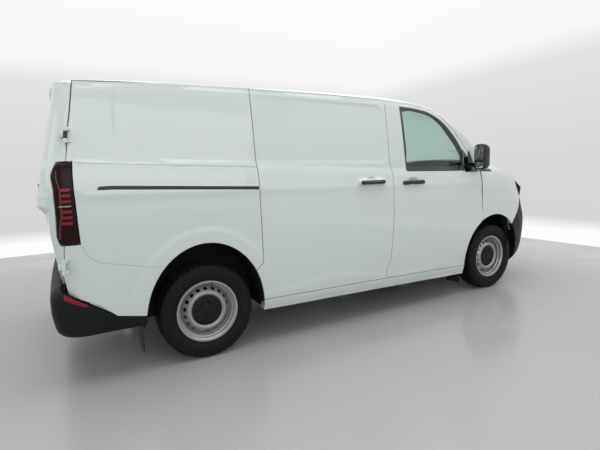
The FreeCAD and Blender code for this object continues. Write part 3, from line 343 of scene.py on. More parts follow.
def studio():
    """A pale floor, a white wall with a rounded corner, and a world that lights less than it shows."""
    floor = room_piece("floor", [(-40, -40, 0), (40, -40, 0), (40, 40, 0), (-40, 40, 0)], [(0, 1, 2, 3)],
                       finish_of("studio_floor", (0.44, 0.445, 0.437), 0.20, specular=0.45, grain=(4, 0.04),
                                 mottle=(0.8, 0.05), rough_vary=(1.5, 0.12, 0.30)))

    line = [(ROOM_END, COVE_Y), (COVE_X, COVE_Y)]
    for k in range(1, 9):
        a = math.pi / 2 * k / 8
        line.append((COVE_X + COVE_RADIUS * math.sin(a), COVE_Y - COVE_RADIUS * (1 - math.cos(a))))
    line.append((COVE_X + COVE_RADIUS, ROOM_END))
    line.reverse()
    verts = [(x, y, z) for x, y in line for z in (0.0, WALL_TOP)]
    faces = [(2 * i, 2 * i + 1, 2 * i + 3, 2 * i + 2) for i in range(len(line) - 1)]
    cove = room_piece("cove", verts, faces, painted_wall_light())
    cove.visible_shadow = False
    cove.visible_diffuse = False

    world = bpy.data.worlds.new("studio_world")
    bpy.context.scene.world = world
    world.use_nodes = True
    tree = world.node_tree
    back = tree.nodes["Background"]
    back.inputs["Color"].default_value = (0.985, 1.0, 0.995, 1)
    path, shown = new_node(tree, "LightPath"), new_node(tree, "Math")
    shown.operation = "MAXIMUM"
    strength = new_node(tree, "MapRange", To_Min=0.56, To_Max=0.96)
    for source, target in ((path.outputs["Is Camera Ray"], shown.inputs[0]),
                           (path.outputs["Is Transmission Ray"], shown.inputs[1]),
                           (shown.outputs[0], strength.inputs["Value"]),
                           (strength.outputs["Result"], back.inputs["Strength"])):
        link(tree, source, target)


def softbox(name, place, aim, size, power):
    data = bpy.data.lights.new(name, "AREA")
    data.shape = "RECTANGLE"
    data.size, data.size_y = size
    data.energy = power
    lamp = bpy.data.objects.new(name, data)
    bpy.context.scene.collection.objects.link(lamp)
    lamp.location = place
    lamp.rotation_euler = (Vector(aim) - Vector(place)).to_track_quat("-Z", "Y").to_euler()


def lights():
    softbox("ceiling_light", (0.0, -0.5, 5.2), (0.0, 0.0, 0.0), (9.0, 6.0), 235.0)
    softbox("side_light", (-1.5, -7.5, 3.4), (0.0, -1.0, 0.9), (7.0, 3.0), 78.0)
    softbox("rear_light", (-7.5, -1.5, 3.0), (-2.3, 0.0, 1.0), (4.0, 2.5), 34.0)


CAMERA_PLACE = (-2.3475, -3.7708, 1.3073)
CAMERA_YAW, CAMERA_PITCH, CAMERA_ROLL = 1.06436, -0.127538, -0.033453
CAMERA_FOCAL = 411.13
IMAGE_WIDTH = 600
SENSOR = 36.0


def camera():
    level = math.cos(CAMERA_PITCH)
    forward = Vector((math.cos(CAMERA_YAW) * level, math.sin(CAMERA_YAW) * level, math.sin(CAMERA_PITCH)))
    right = forward.cross(Vector((0, 0, 1))).normalized()
    up = right.cross(forward)
    c, s = math.cos(CAMERA_ROLL), math.sin(CAMERA_ROLL)
    right, up = right * c + up * s, up * c - right * s
    data = bpy.data.cameras.new("camera")
    data.sensor_width = SENSOR
    data.lens = CAMERA_FOCAL / IMAGE_WIDTH * SENSOR
    view = bpy.data.objects.new("camera", data)
    bpy.context.scene.collection.objects.link(view)
    rotation = Matrix((right, up, -forward)).transposed().to_4x4()
    view.matrix_world = Matrix.Translation(CAMERA_PLACE) @ rotation
    bpy.context.scene.camera = view


# skins: the body's outer surface as a distance from a core line, dressed with its pressings

CORE_X, CORE_Y = -2.25, 0.80
CORE_ARC = 0.20
FIELD_U = (-3.30, 1.80)
FIELD_Z = (0.20, 2.02)
FIELD_STEP = 0.01
REACH = 1.0
SKIN_NODES = ("side_panel_", "door_", "rear_door_", "fender_", "tail_lamps", "roof_panel", "windscreen_frame",
              "sliding_door", "side_rail")
SEAM = [(-2.281, 1.895), (-1.7, 1.925), (-1.115, 1.930), (-0.5, 1.926), (0.129, 1.913), (0.4, 1.900),
        (0.6, 1.878)]
B_LINE = [(0.129, 1.913), (0.130, 1.361), (0.145, 1.300), (0.145, 1.125), (0.141, 0.900), (0.102, 0.503),
          (0.055, 0.418), (0.062, 0.341)]
WINDOW_TOP = [(0.310, 1.863), (0.494, 1.850), (0.661, 1.822), (0.816, 1.754), (0.944, 1.655), (1.067, 1.520),
              (1.114, 1.425)]
LAMP_FRONT_X, LAMP_LOW, LAMP_HIGH = -2.320, 0.923, 1.411
# the frame's own pressings, which the field is read without
WINDOW_PRESSING = [(-2.078, 1.574), (-2.054, 1.866), (-1.0, 1.871), (0.080, 1.850), (0.092, 1.373),
                   (-1.780, 1.412)]
WINDOW_DEPTH = 0.009
REAR_FIELD, REAR_FIELD_DEPTH = (0.085, 0.700, 1.500, 1.812), 0.009
LOWER_FIELD, LOWER_FIELD_DEPTH = (0.085, 0.700, 0.760, 0.930), 0.006
PLATE_FIELD, PLATE_DEPTH = (0.120, 0.690, 0.990, 1.150), 0.014
REAR_SHUT_HIGH = [(-2.336, 1.567), (-2.281, 1.893)]


def core(u, side):
    """Where the core line is at u, and which way the body's surface lies from it."""
    u = np.asarray(u, float)
    turn = np.clip((CORE_X - u) / CORE_ARC, 0, 1) * math.pi / 2
    x = np.maximum(u, CORE_X)
    y = side * (CORE_Y - np.maximum(CORE_X - CORE_ARC - u, 0))
    return x, y, -np.sin(turn), side * np.cos(turn)


def tree_of(names):
    """The named frame nodes as one tree that rays can be cast on."""
    verts, faces = [], []
    for name in names:
        start = len(verts)
        verts += [v.co.copy() for v in nodes[name].data.vertices]
        faces += [[start + i for i in p.vertices] for p in nodes[name].data.polygons]
    return BVHTree.FromPolygons(verts, faces)


class Surface:
    """One half of the body as a smooth field of distance from the core line."""

    def __init__(self, side):
        self.side = side
        other = "_left" if side == RIGHT else "_right"
        tree = tree_of([name for name in nodes if name.startswith(SKIN_NODES) and not name.endswith(other)
                        and not name.startswith(("door_handle", "door_glass"))])
        us = np.arange(FIELD_U[0], FIELD_U[1] + 1e-6, FIELD_STEP)
        zs = np.arange(FIELD_Z[0], FIELD_Z[1] + 1e-6, FIELD_STEP)
        field = np.full((len(us), len(zs)), np.nan)
        x, y, dx, dy = core(us, side)
        for i in range(len(us)):
            out = Vector((dx[i], dy[i], 0))
            for k, z in enumerate(zs):
                start = Vector((x[i], y[i], z)) + out * REACH
                hit = tree.ray_cast(start, -out, REACH)
                if hit[0] is not None:
                    field[i, k] = REACH - hit[3]
        self.field = self.filled(self.without_pressings(field, us, zs))

    def without_pressings(self, field, us, zs):
        """Raises the frame's pressed fields to the surface round them, and forgets their edges."""
        grid = lattice(us, zs)
        fields = [(WINDOW_PRESSING, WINDOW_DEPTH), (rear_corners(REAR_FIELD), REAR_FIELD_DEPTH)]
        if self.side == LEFT:
            fields.append((rear_corners(PLATE_FIELD), PLATE_DEPTH))
        for outline, depth in fields:
            loop = np.array(rounded(outline, 0.04))
            within = inside(grid, loop).reshape(field.shape)
            edge = (distance_to(grid, loop) < 0.016).reshape(field.shape)
            field = np.where(edge, np.nan, field + depth * within)
        return field

    @staticmethod
    def filled(field):
        """Fills openings and shut lines from what is round them, then smooths."""
        best = np.where(np.isnan(field), -9, field)
        wide = best.copy()
        for axis in (0, 1):
            wide = np.max([np.roll(wide, s, axis) for s in (-2, -1, 0, 1, 2)], 0)
        known = (best > wide - 0.012) & (best > 0.0)
        filled = np.where(known, best, 0.0)
        reach = known.astype(float)
        for _ in range(60):
            total, count = np.zeros_like(filled), np.zeros_like(filled)
            for axis in (0, 1):
                for s in (-1, 1):
                    total += np.roll(filled * reach, s, axis)
                    count += np.roll(reach, s, axis)
            grown = (count > 0) & ~known
            filled = np.where(grown, total / np.maximum(count, 1e-9), filled)
            reach = np.where(grown | known, 1.0, reach)
        for _ in range(2):
            padded = np.pad(filled, 1, mode="edge")
            around = padded[:-2, 1:-1] + padded[2:, 1:-1] + padded[1:-1, :-2] + padded[1:-1, 2:]
            filled = around / 8 + filled / 2
        return filled

    def distance(self, u, z):
        """The field at (u, z) through a cubic B-spline, so that its slope is smooth too."""
        a = (np.asarray(u, float) - FIELD_U[0]) / FIELD_STEP
        b = (np.asarray(z, float) - FIELD_Z[0]) / FIELD_STEP
        i, k = np.floor(a).astype(int), np.floor(b).astype(int)
        s, t = a - i, b - k

        def weights(f):
            return [(1 - f) ** 3 / 6, (3 * f ** 3 - 6 * f ** 2 + 4) / 6,
                    (-3 * f ** 3 + 3 * f ** 2 + 3 * f + 1) / 6, f ** 3 / 6]

        ws, wt = weights(s), weights(t)
        total = np.zeros_like(a)
        for m in range(4):
            for n in range(4):
                total += ws[m] * wt[n] * self.field[np.clip(i + m - 1, 0, self.field.shape[0] - 1),
                                                    np.clip(k + n - 1, 0, self.field.shape[1] - 1)]
        return total

    def place(self, u, z, inward=0.0):
        x, y, dx, dy = core(u, self.side)
        r = self.distance(u, z) - inward
        return np.stack([x + dx * r, y + dy * r, np.asarray(z, float) + 0 * r], -1)

    def u_at_x(self, x, z):
        """The u of the surface's point at x, round the rear corner too."""
        low, high = CORE_X - CORE_ARC, max(x, CORE_X) + 0.01
        for _ in range(40):
            middle = (low + high) / 2
            if spot(self, middle, z)[0] < x:
                low = middle
            else:
                high = middle
        return (low + high) / 2

    def outline(self, points):
        """(x, z) points as (u, z)."""
        return [(self.u_at_x(x, z), z) for x, z in points]


def spot(surface, u, z, inward=0.0):
    """One point of the surface, or below it."""
    return surface.place([u], [z], inward)[0]


def u_of_y(y):
    """u on the rear face at distance y from the middle."""
    return CORE_X - CORE_ARC - (CORE_Y - y)


def rear_corners(field):
    """A rear field's corners as (u, z), from its y and z ranges."""
    y_from, y_to, z_from, z_to = field
    return [(u_of_y(y_from), z_from), (u_of_y(y_from), z_to), (u_of_y(y_to), z_to), (u_of_y(y_to), z_from)]


def lattice(us, zs):
    """Every (u, z) of two lists of values."""
    return np.stack(np.meshgrid(us, zs, indexing="ij"), -1).reshape(-1, 2)


def lattice_over(loop, spacing):
    """A lattice over the box round a loop."""
    (u_low, z_low), (u_high, z_high) = loop.min(0), loop.max(0)
    return lattice(np.arange(u_low, u_high, spacing), np.arange(z_low, z_high, spacing))


def wound(loop, sign=1):
    """A closed loop turned to run anticlockwise, or clockwise when sign is -1."""
    return loop[::-1] if np.cross(loop, np.roll(loop, -1, 0)).sum() * sign < 0 else loop


def unit(rows):
    return rows / np.maximum(np.linalg.norm(rows, axis=1), 1e-9)[:, None]


def turned_left(along):
    """Each direction turned left by a right angle."""
    return np.stack([-along[:, 1], along[:, 0]], 1)


def inward_of(loop):
    """The unit direction into an anticlockwise loop, at each of its points."""
    return turned_left(unit(np.roll(loop, -1, 0) - np.roll(loop, 1, 0)))


def across_of(line):
    """The unit direction across an open line, at each of its points."""
    return turned_left(unit(np.gradient(line, axis=0)))


def resampled(points, spacing, closed=True):
    points = [np.array(p, float) for p in points]
    result = []
    for i in range(len(points) if closed else len(points) - 1):
        a, b = points[i], points[(i + 1) % len(points)]
        count = max(1, int(math.ceil(np.linalg.norm(b - a) / spacing)))
        result += [a + (b - a) * t / count for t in range(count)]
    if not closed:
        result.append(points[-1])
    return np.array(result)


def rounded(points, radius, steps=5):
    """A closed outline with its corners rounded. A third value in a point is that corner's own radius."""
    result = []
    n = len(points)
    for i in range(n):
        a, p, b = (np.array(points[(i + d) % n][:2], float) for d in (-1, 0, 1))
        r = points[i][2] if len(points[i]) > 2 else radius
        la, lb = np.linalg.norm(a - p), np.linalg.norm(b - p)
        da, db = (a - p) / la, (b - p) / lb
        cut = min(r / max(math.tan(math.acos(np.clip(da @ db, -1, 1)) / 2), 0.05), la * 0.45, lb * 0.45)
        start, end = p + da * cut, p + db * cut
        for t in np.linspace(0, 1, steps + 1):
            result.append((1 - t) ** 2 * start + 2 * t * (1 - t) * p + t * t * end)
    return [tuple(v) for v in result]


def inside(points, loop):
    """Which of the points lie in the closed loop."""
    x, y = points[:, 0], points[:, 1]
    within = np.zeros(len(points), bool)
    xa, ya = loop[:, 0], loop[:, 1]
    xb, yb = np.roll(xa, -1), np.roll(ya, -1)
    for i in range(len(loop)):
        if ya[i] != yb[i]:
            crosses = (ya[i] > y) != (yb[i] > y)
            within ^= crosses & (x < (xb[i] - xa[i]) * (y - ya[i]) / (yb[i] - ya[i]) + xa[i])
    return within


def distance_to(points, line, closed=True):
    """Shortest distance from each point to a line of straight runs."""
    best = np.full(len(points), 9.0)
    count = len(line) if closed else len(line) - 1
    for i in range(count):
        a, b = line[i], line[(i + 1) % len(line)]
        d = b - a
        t = np.clip(((points - a) @ d) / max(d @ d, 1e-12), 0, 1)
        best = np.minimum(best, np.hypot(*(points - a - t[:, None] * d).T))
    return best


def depth_within(u, z, outline):
    """How far each (u, z) lies inside a closed outline, below zero outside it."""
    points = np.stack([u.ravel(), z.ravel()], 1)
    return (distance_to(points, outline) * np.where(inside(points, outline), 1, -1)).reshape(u.shape)


def curved(points, steps=5):
    """A smooth line through the points."""
    p = np.array([points[0]] + list(points) + [points[-1]], float)
    line = []
    for i in range(1, len(p) - 2):
        for t in np.arange(steps) / steps:
            line.append(0.5 * (2 * p[i] + (p[i + 1] - p[i - 1]) * t +
                               (2 * p[i - 1] - 5 * p[i] + 4 * p[i + 1] - p[i + 2]) * t ** 2 +
                               (3 * p[i] - p[i - 1] - 3 * p[i + 1] + p[i + 2]) * t ** 3))
    line.append(p[-1])
    return [tuple(v) for v in line]


def step(value, low, high):
    t = np.clip((value - low) / (high - low), 0, 1)
    return t * t * (3 - 2 * t)


GRID, FINE_GRID, BEND_LIMIT = 0.022, 0.0065, 0.9
OUTER_SPACING, HOLE_SPACING, GROOVE_SPACING = 0.011, 0.009, 0.012
RIM_GAP = 0.0035
ROLL = 0.003


def skin(name, surface, outer, holes, detail, thickness, body, replaces=(), grooves=()):
    """A closed panel: pressed outer face, rolled edges all round and a plain inner face."""
    loops = [wound(resampled(outer, OUTER_SPACING))] + [wound(resampled(h, HOLE_SPACING), -1) for h in holes]
    normals = [inward_of(loop) for loop in loops]
    rims = [loop + n * ROLL for loop, n in zip(loops, normals)]

    def bend(points):
        h = 0.004
        u, z = points.T
        return np.abs(detail(u + h, z) + detail(u - h, z) + detail(u, z + h) + detail(u, z - h)
                      - 4 * detail(u, z)) / h ** 2

    # the lattice is fine where the surface bends and coarse elsewhere
    close = lattice_over(rims[0], FINE_GRID)
    close = close[bend(close) > BEND_LIMIT]
    cell = GRID * 0.6
    taken = set(map(tuple, np.round(close / cell).astype(int)))
    coarse = np.array([p for p in lattice_over(rims[0], GRID)
                       if tuple(np.round(p / cell).astype(int)) not in taken])
    free = np.concatenate([coarse.reshape(-1, 2), close.reshape(-1, 2)])
    for i, rim in enumerate(rims):
        free = free[inside(free, rim) == (i == 0)]
        free = free[distance_to(free, rim) > RIM_GAP]
    groove_points, groove_edges, groove_sinks = [], [], []
    for line, width, depth in grooves:
        line = resampled(line, GROOVE_SPACING, False)
        across = across_of(line)
        free = free[distance_to(free, line, False) > width * 1.6 + 0.002]
        for offset, sink in ((-width, 0.0), (-width * 0.45, depth), (width * 0.45, depth), (width, 0.0)):
            start = len(groove_points)
            groove_points += list(line + across * offset)
            groove_edges += [(start + i, start + i + 1) for i in range(len(line) - 1)]
            groove_sinks += [sink] * len(line)
    fixed, edges = [], []
    for rim in rims:
        start = len(fixed)
        fixed += list(rim)
        edges += [(start + i, start + (i + 1) % len(rim)) for i in range(len(rim))]
    start = len(fixed)
    fixed += groove_points
    edges += [(start + a, start + b) for a, b in groove_edges]
    flat = np.array(fixed + list(free))
    made, _, triangles, origins, _, _ = delaunay_2d_cdt([Vector(p) for p in flat], edges, [], 0, 1e-7)
    made = np.array([tuple(v) for v in made])
    triangles = np.array([t for t in triangles if len(t) == 3])
    middle = made[triangles].mean(1)
    keep = inside(middle, rims[0])
    for rim in rims[1:]:
        keep &= ~inside(middle, rim)
    triangles = triangles[keep]
    sink = np.zeros(len(made))
    place_of = {}
    for i, sources in enumerate(origins):
        for source in sources:
            place_of[source] = i
            if start <= source < start + len(groove_points):
                sink[i] = max(sink[i], groove_sinks[source - start])

    def outer_at(points, extra=0.0):
        u, z = points.T
        return surface.place(u, z, detail(u, z) + extra)

    def facing(points):
        h = 0.0015
        along = outer_at(points + [h, 0]) - outer_at(points - [h, 0])
        up = outer_at(points + [0, h]) - outer_at(points - [0, h])
        return unit(np.cross(along, up) * surface.side * -1), along / (2 * h), up / (2 * h)

    face_normals = facing(made)[0]
    verts = [outer_at(made, sink), surface.place(made[:, 0], made[:, 1], thickness)]
    vert_normals = [face_normals, -face_normals]
    count = len(made)
    faces = [tuple(t) for t in triangles] + [tuple(t[::-1] + count) for t in triangles]
    a, b, c = verts[0][triangles[0]]
    orientation = np.cross(b - a, c - a) @ face_normals[triangles[0][0]]
    total = 2 * count
    offset = 0
    for loop, n, rim in zip(loops, normals, rims):
        size = len(rim)
        first = [place_of[offset + i] for i in range(size)]
        outward_normal, along, up = facing(loop)
        edge = unit(-(along * n[:, :1] + up * n[:, 1:]))
        soft = unit(outward_normal + edge)
        shoulder = outer_at(loop + n * ROLL * 0.25, ROLL * 0.28)
        flat_edge = outer_at(loop, ROLL)
        deep = surface.place(loop[:, 0], loop[:, 1], thickness - 0.001)
        verts += [shoulder, flat_edge, deep]
        vert_normals += [soft, edge, edge]
        rows = [first] + [[total + size * k + i for i in range(size)] for k in range(3)]
        rows.append([count + v for v in first])
        total += 3 * size
        for a, b in zip(rows, rows[1:]):
            for i in range(size):
                j = (i + 1) % size
                faces.append((a[i], b[i], b[j], a[j]))
        offset += size
    if orientation < 0:
        faces = [f[::-1] for f in faces]
    piece = add_object(name, np.concatenate(verts), faces, [PAINT], body,
                       normals=np.concatenate(vert_normals))
    if replaces:
        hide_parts(*replaces)


# the pressed sides

def arch_outline(wheel_x, arch, low_z):
    """Points up and over a wheel arch from back to front, with a foot at the height low_z(x) at each end."""
    points = []
    for t in np.linspace(0, 1, 46):
        angle = math.pi * (1 - t)
        points.append((wheel_x + arch[0] * math.cos(angle), WHEEL_Z + arch[1] * math.sin(angle)))
    first, last = points[0][0], points[-1][0]
    points = [p for p in points if p[1] > low_z(p[0])]
    head = [(first, low_z(first))] if points[0][1] > low_z(first) + 0.004 else []
    tail = [(last, low_z(last))] if points[-1][1] > low_z(last) + 0.004 else []
    return head + points + tail


def arch_distance(u, z, wheel_x, arch):
    """About how far outside a wheel arch's edge a point is."""
    x = u - wheel_x
    up = np.maximum(z - WHEEL_Z, 0)
    share = np.hypot(x / arch[0], up / arch[1])
    return np.hypot(x, up) * (1 - 1 / np.maximum(share, 0.2))


LOWER_LINES = {"sliding": [(-1.30, 0.400), (-0.82, 0.428), (-0.53, 0.478), (0.12, 0.372)],
               "front": [(0.05, 0.352), (0.35, 0.368), (0.74, 0.402), (0.96, 0.338), (1.3, 0.30)]}


def line_height(points, u):
    return np.interp(u, [p[0] for p in points], [p[1] for p in points])


CREASE_Z, CREASE_SLOPE, CREASE_PROUD, CREASE_HOLLOW = 1.176, -0.0205, 0.0022, 0.0016
ARCH_LIP, LOWER_SWELL = 0.0045, 0.0045
CUP_HALF_LENGTH, CUP_HALF_HEIGHT, CUP_DEPTH = 0.078, 0.052, 0.018


def side_detail(side):
    """How far the side is pressed in at (u, z), in metres. Negative stands proud."""
    pressing = np.array(rounded([p + (0.30,) if p[0] == -1.780 else p for p in WINDOW_PRESSING], 0.06, 8))
    handles = [CAB_PULL, SLIDE_PULL] if side == RIGHT else [CAB_PULL]

    def detail(u, z):
        u, z = np.broadcast_arrays(np.asarray(u, float), np.asarray(z, float))
        sunk = 0.75 * WINDOW_DEPTH * step(depth_within(u, z, pressing), -0.022, 0.018)
        # the crease at handle height stands proud, with a hollow below it
        above = z - (CREASE_Z + CREASE_SLOPE * (u + 0.5))
        along = step(u, -2.33, -2.2)
        sunk = sunk - CREASE_PROUD * np.exp(-(above / 0.026) ** 2) * along
        sunk = sunk + CREASE_HOLLOW * np.exp(-((above + 0.055) / 0.045) ** 2) * along
        # a raised lip round each arch, ending in a soft crease
        for wheel_x, arch in ((REAR_AXLE_X, REAR_ARCH), (FRONT_AXLE_X, FRONT_ARCH)):
            away = arch_distance(u, z, wheel_x, arch)
            sunk = sunk - ARCH_LIP * (1 - step(away, 0.070, 0.125)) * step(z, 0.30, 0.50)
        # the doors' lower edge swells out
        for name, low, high in (("sliding", -1.14, 0.09), ("front", 0.09, 1.4)):
            top = line_height(LOWER_LINES[name], u)
            band = step(u, low - 0.01, low + 0.01) * (1 - step(u, high - 0.01, high + 0.01))
            sunk = sunk - LOWER_SWELL * (1 - step(z, top - 0.030, top + 0.030)) * band
        # a cup behind each handle
        for x, height in handles:
            away = np.hypot((u - x) / CUP_HALF_LENGTH, (z - height) / CUP_HALF_HEIGHT)
            sunk = sunk + CUP_DEPTH * (1 - step(away, 0.30, 1.0))
        return sunk

    return detail


RAIL_HOLE = [(-2.204, 1.2415), (-2.192, 1.2535), (-2.165, 1.2605), (-2.12, 1.2620), (-1.1405, 1.2145),
             (-1.1405, 1.1925), (-2.12, 1.2410)]
QUARTER_EDGE_X, SLIDER_EDGE_X, SILL_FRONT_X = -1.1405, -1.1355, 1.0785
LAMP_EDGE_X, LAMP_EDGE_LOW, LAMP_EDGE_HIGH = LAMP_FRONT_X + 0.0015, 0.9205, 1.4165


def sill_z(x):
    """Height of the sill's lower edge."""
    return 0.252 - 0.021 * x


def side_panels(side, word, surface):
    """The side with its rear quarter, and on the right the sill and the sliding door besides."""
    detail = side_detail(side)
    seam = [(x, z - HALF_GAP * 0.6) for x, z in reversed(SEAM)]
    b_line = [(x - HALF_GAP, z) for x, z in B_LINE]
    sill_front = [(SILL_FRONT_X, sill_z(SILL_FRONT_X)), (SILL_FRONT_X, 0.3150)]
    outer = surface.outline([(-2.409, 0.6205), (-2.152, 0.4425)]) + [(-1.9815, 0.4080)]
    if side == RIGHT:
        arch = arch_outline(REAR_AXLE_X, REAR_ARCH, lambda x: 0.404 if x < REAR_AXLE_X else 0.6025)
        outer += [p for p in arch if p[1] > 0.6026 or p[0] < REAR_AXLE_X][1:]
        outer += [(-1.1985, 0.6013), (-1.1417, 0.6519), (QUARTER_EDGE_X, 0.6545), (QUARTER_EDGE_X, 1.930)]
        outer += [p for p in seam if p[0] < -1.141]
    else:
        outer += arch_outline(REAR_AXLE_X, REAR_ARCH, lambda x: 0.404 if x < REAR_AXLE_X else 0.345)[1:]
        outer += [(-1.1370, sill_z(-1.137))] + sill_front + [(0.0600, 0.3382)] + b_line[-2::-1]
        outer += [p for p in seam if p[0] < 0.127]
    outer += surface.outline([(x + HALF_GAP * 1.4, z) for x, z in reversed(REAR_SHUT_HIGH)] +
                             [(-2.354, LAMP_EDGE_HIGH), (LAMP_EDGE_X, LAMP_EDGE_HIGH),
                              (LAMP_EDGE_X, LAMP_EDGE_LOW), (-2.4025, LAMP_EDGE_LOW), (-2.4145, 0.800),
                              (-2.424, 0.735)])
    shoulder = surface.outline([(LAMP_EDGE_X, 1.4055)]) + [(-1.70, 1.3785), (QUARTER_EDGE_X, 1.3560)]
    if side == LEFT:
        shoulder.append((0.1265, 1.300))
    lower_seam = surface.outline([(-2.312, LAMP_EDGE_LOW), (-2.300, 0.868), (-2.262, 0.822), (-2.216, 0.795)])
    lower_seam += [(-1.927, 0.729), (-1.815, 0.7175)]
    holes = [rounded(RAIL_HOLE, 0.004)] if side == RIGHT else []
    skin("side_panel_skin_" + word, surface, outer, holes, detail, WALL, "van_body", ("side_panel_" + word,),
         [(shoulder, 0.0026, 0.0045), (lower_seam, 0.0024, 0.0040)])
    if side == LEFT:
        return
    sill = [(SLIDER_EDGE_X, sill_z(SLIDER_EDGE_X))] + sill_front + [(0.062, 0.3382), (SLIDER_EDGE_X, 0.3600)]
    skin("sill_skin_right", surface, sill, [], detail, WALL, "van_body")
    under = arch_outline(REAR_AXLE_X, REAR_ARCH, lambda x: 0.366)
    door = [(-1.1950, 0.5975), (-1.1375, 0.6489), (SLIDER_EDGE_X, 0.6545), (SLIDER_EDGE_X, 1.9275),
            (-0.5, 1.9235), (0.1265, 1.9105)] + b_line[1:-1] + [(0.0595, 0.3435), (-1.134, 0.3652)]
    door += [p for p in reversed(under) if p[0] > -1.1949 and p[1] < 0.5965]
    skin("sliding_door_skin", surface, door, [], detail, WALL, "van_body", ("sliding_door",))


def front_door(side, word, surface):
    """The cab door round its window, with the front wheel arch's share of its edge."""
    b_line = [(x + HALF_GAP, z) for x, z in B_LINE]
    arch = arch_outline(FRONT_AXLE_X, FRONT_ARCH, lambda x: 0.3130)
    arch = [p for p in arch if p[0] < 1.3215 and p[1] < 0.762]
    outer = [b_line[0], (0.400, 1.8975), (0.600, 1.8755), (0.751, 1.8355), (0.845, 1.7825), (0.975, 1.6775),
             (1.105, 1.5525), (1.215, 1.4225), (1.268, 1.3580), (1.296, 1.3300), (1.3205, 1.290),
             (DOOR_FRONT_X, 1.240), (DOOR_FRONT_X, 0.9), (DOOR_FRONT_X, 0.766)]
    outer += arch[::-1] + [(1.0805, 0.3195), (0.0645, 0.3435)] + b_line[-2:0:-1]
    window = rounded([(0.300, 1.863, 0.018)] + curved(WINDOW_TOP)[1:-4] +
                     [(1.132, 1.462, 0.02), (1.300, 1.298, 0.004), (1.300, 1.2555, 0.004),
                      (1.1005, 1.2555, 0.004), (1.095, 1.2700, 0.008), (0.318, 1.2845, 0.018)], 0.01)
    skin("door_skin_" + word, surface, outer, [window], side_detail(side), WALL, "cab_door_" + word,
         ("door_" + word,))


DOOR_MIDDLE_Y = 0.0025
REAR_CREASE_Z = 1.214
ROOF_SHUT_Z = 1.893


def rear_door(side, word, surface):
    """A wing door: round the corner to its shut line, with pressed fields like unglazed windows."""
    fields = [(REAR_FIELD, 0.05, REAR_FIELD_DEPTH, 0.013), (LOWER_FIELD, 0.05, LOWER_FIELD_DEPTH, 0.014)]
    if side == LEFT:
        fields.append((PLATE_FIELD, 0.03, PLATE_DEPTH, 0.010))
    fields = [(np.array(rounded(rear_corners(field), radius, 8)), depth, soft)
              for field, radius, depth, soft in fields]
    edge_u = surface.outline([(-2.431, 1.25)])[0][0]

    def detail(u, z):
        u, z = np.broadcast_arrays(np.asarray(u, float), np.asarray(z, float))
        sunk = sum(depth * step(depth_within(u, z, outline), -soft, soft) for outline, depth, soft in fields)
        # what stands proud fades out before the corner, which turns close past the side panel
        across = 1 - step(u, u_of_y(0.80), u_of_y(0.92))
        sunk = sunk - 0.0042 * across * np.exp(-((z - REAR_CREASE_Z) / 0.016) ** 2)
        sunk = sunk + 0.003 * np.exp(-((z - REAR_CREASE_Z + 0.05) / 0.04) ** 2)
        sunk = sunk - 0.005 * across * step(z, 1.838, 1.868)
        beside_lamp = step(z, 1.02, 1.14) * step(-z, -1.42, -1.32)
        return sunk + CORNER_RELIEF * step(u, edge_u - 0.080, edge_u - 0.030) * beside_lamp

    edge = surface.outline([(-2.4545, 0.6525), (-2.4195, 0.800), (-2.4075, 0.918),
                            (LAMP_BACK[0][0] - 0.001, 0.9195)])
    edge += [(u - 0.004, z) for u, z in surface.outline(LAMP_BACK[1:-1])]
    edge += surface.outline([(LAMP_BACK[-1][0] - 0.003, 1.4145), (-2.3565, 1.416), (-2.3385, 1.567),
                             (-2.2855, 1.880)])
    over = []
    for t in np.linspace(0, 1, 14)[1:]:
        u = edge[-1][0] * (1 - t) + u_of_y(DOOR_MIDDLE_Y) * t
        x = spot(surface, u, 1.885)[0]
        over.append((u, min(ROOF_SHUT_Z - 0.13 * (x + 2.375) - HALF_GAP, ROOF_SHUT_Z - HALF_GAP)))
    outer = edge + over + [(u_of_y(DOOR_MIDDLE_Y), 0.6525)]
    skin("rear_door_skin_" + word, surface, outer, [], detail, DOOR_SKIN_WALL, "wing_door_" + word,
         ("rear_door_" + word,))


def pressed_body():
    surfaces = {}
    for side, word in SIDES:
        surface = Surface(side)
        surfaces[side] = surface
        side_panels(side, word, surface)
        front_door(side, word, surface)
        rear_door(side, word, surface)
    return surfaces


# wheels

CORNERS = (("front_right", FRONT_AXLE_X, RIGHT), ("front_left", FRONT_AXLE_X, LEFT),
           ("rear_right", REAR_AXLE_X, RIGHT), ("rear_left", REAR_AXLE_X, LEFT))
TREAD_RADIUS = 0.3428
TREAD_STEPS = 288
TREAD_BLOCK = 6
GROOVES = (-0.052, -0.018, 0.018, 0.052)
GROOVE_HALF, GROOVE_DEPTH = 0.0045, 0.0075


def tyre_profile():
    """(radius, offset) points over the tyre, from the inner bead round the tread to the outer bead."""
    side = [(0.2045, 0.084), (0.2235, 0.0845), (0.2250, 0.0930), (0.2290, 0.0985), (0.2330, 0.0992),
            (0.2350, 0.0975), (0.2380, 0.1000), (0.2520, 0.1052), (0.2700, 0.1072), (0.2850, 0.1075),
            (0.2990, 0.1066), (0.3010, 0.1052), (0.3030, 0.1058), (0.3140, 0.1030), (0.3160, 0.1014),
            (0.3185, 0.1018), (0.3270, 0.0978), (0.3330, 0.0930), (0.3375, 0.0872), (0.3400, 0.0800)]
    tread = [(0.3412, 0.072)]
    for middle in reversed(GROOVES):
        lip, floor = GROOVE_HALF + 0.0008, GROOVE_HALF * 0.6
        tread += [(TREAD_RADIUS, middle + lip), (TREAD_RADIUS - GROOVE_DEPTH, middle + floor),
                  (TREAD_RADIUS - GROOVE_DEPTH, middle - floor), (TREAD_RADIUS, middle - lip)]
    tread += [(0.3412, -0.072)]
    return side + tread + [(r, -y) for r, y in reversed(side)]


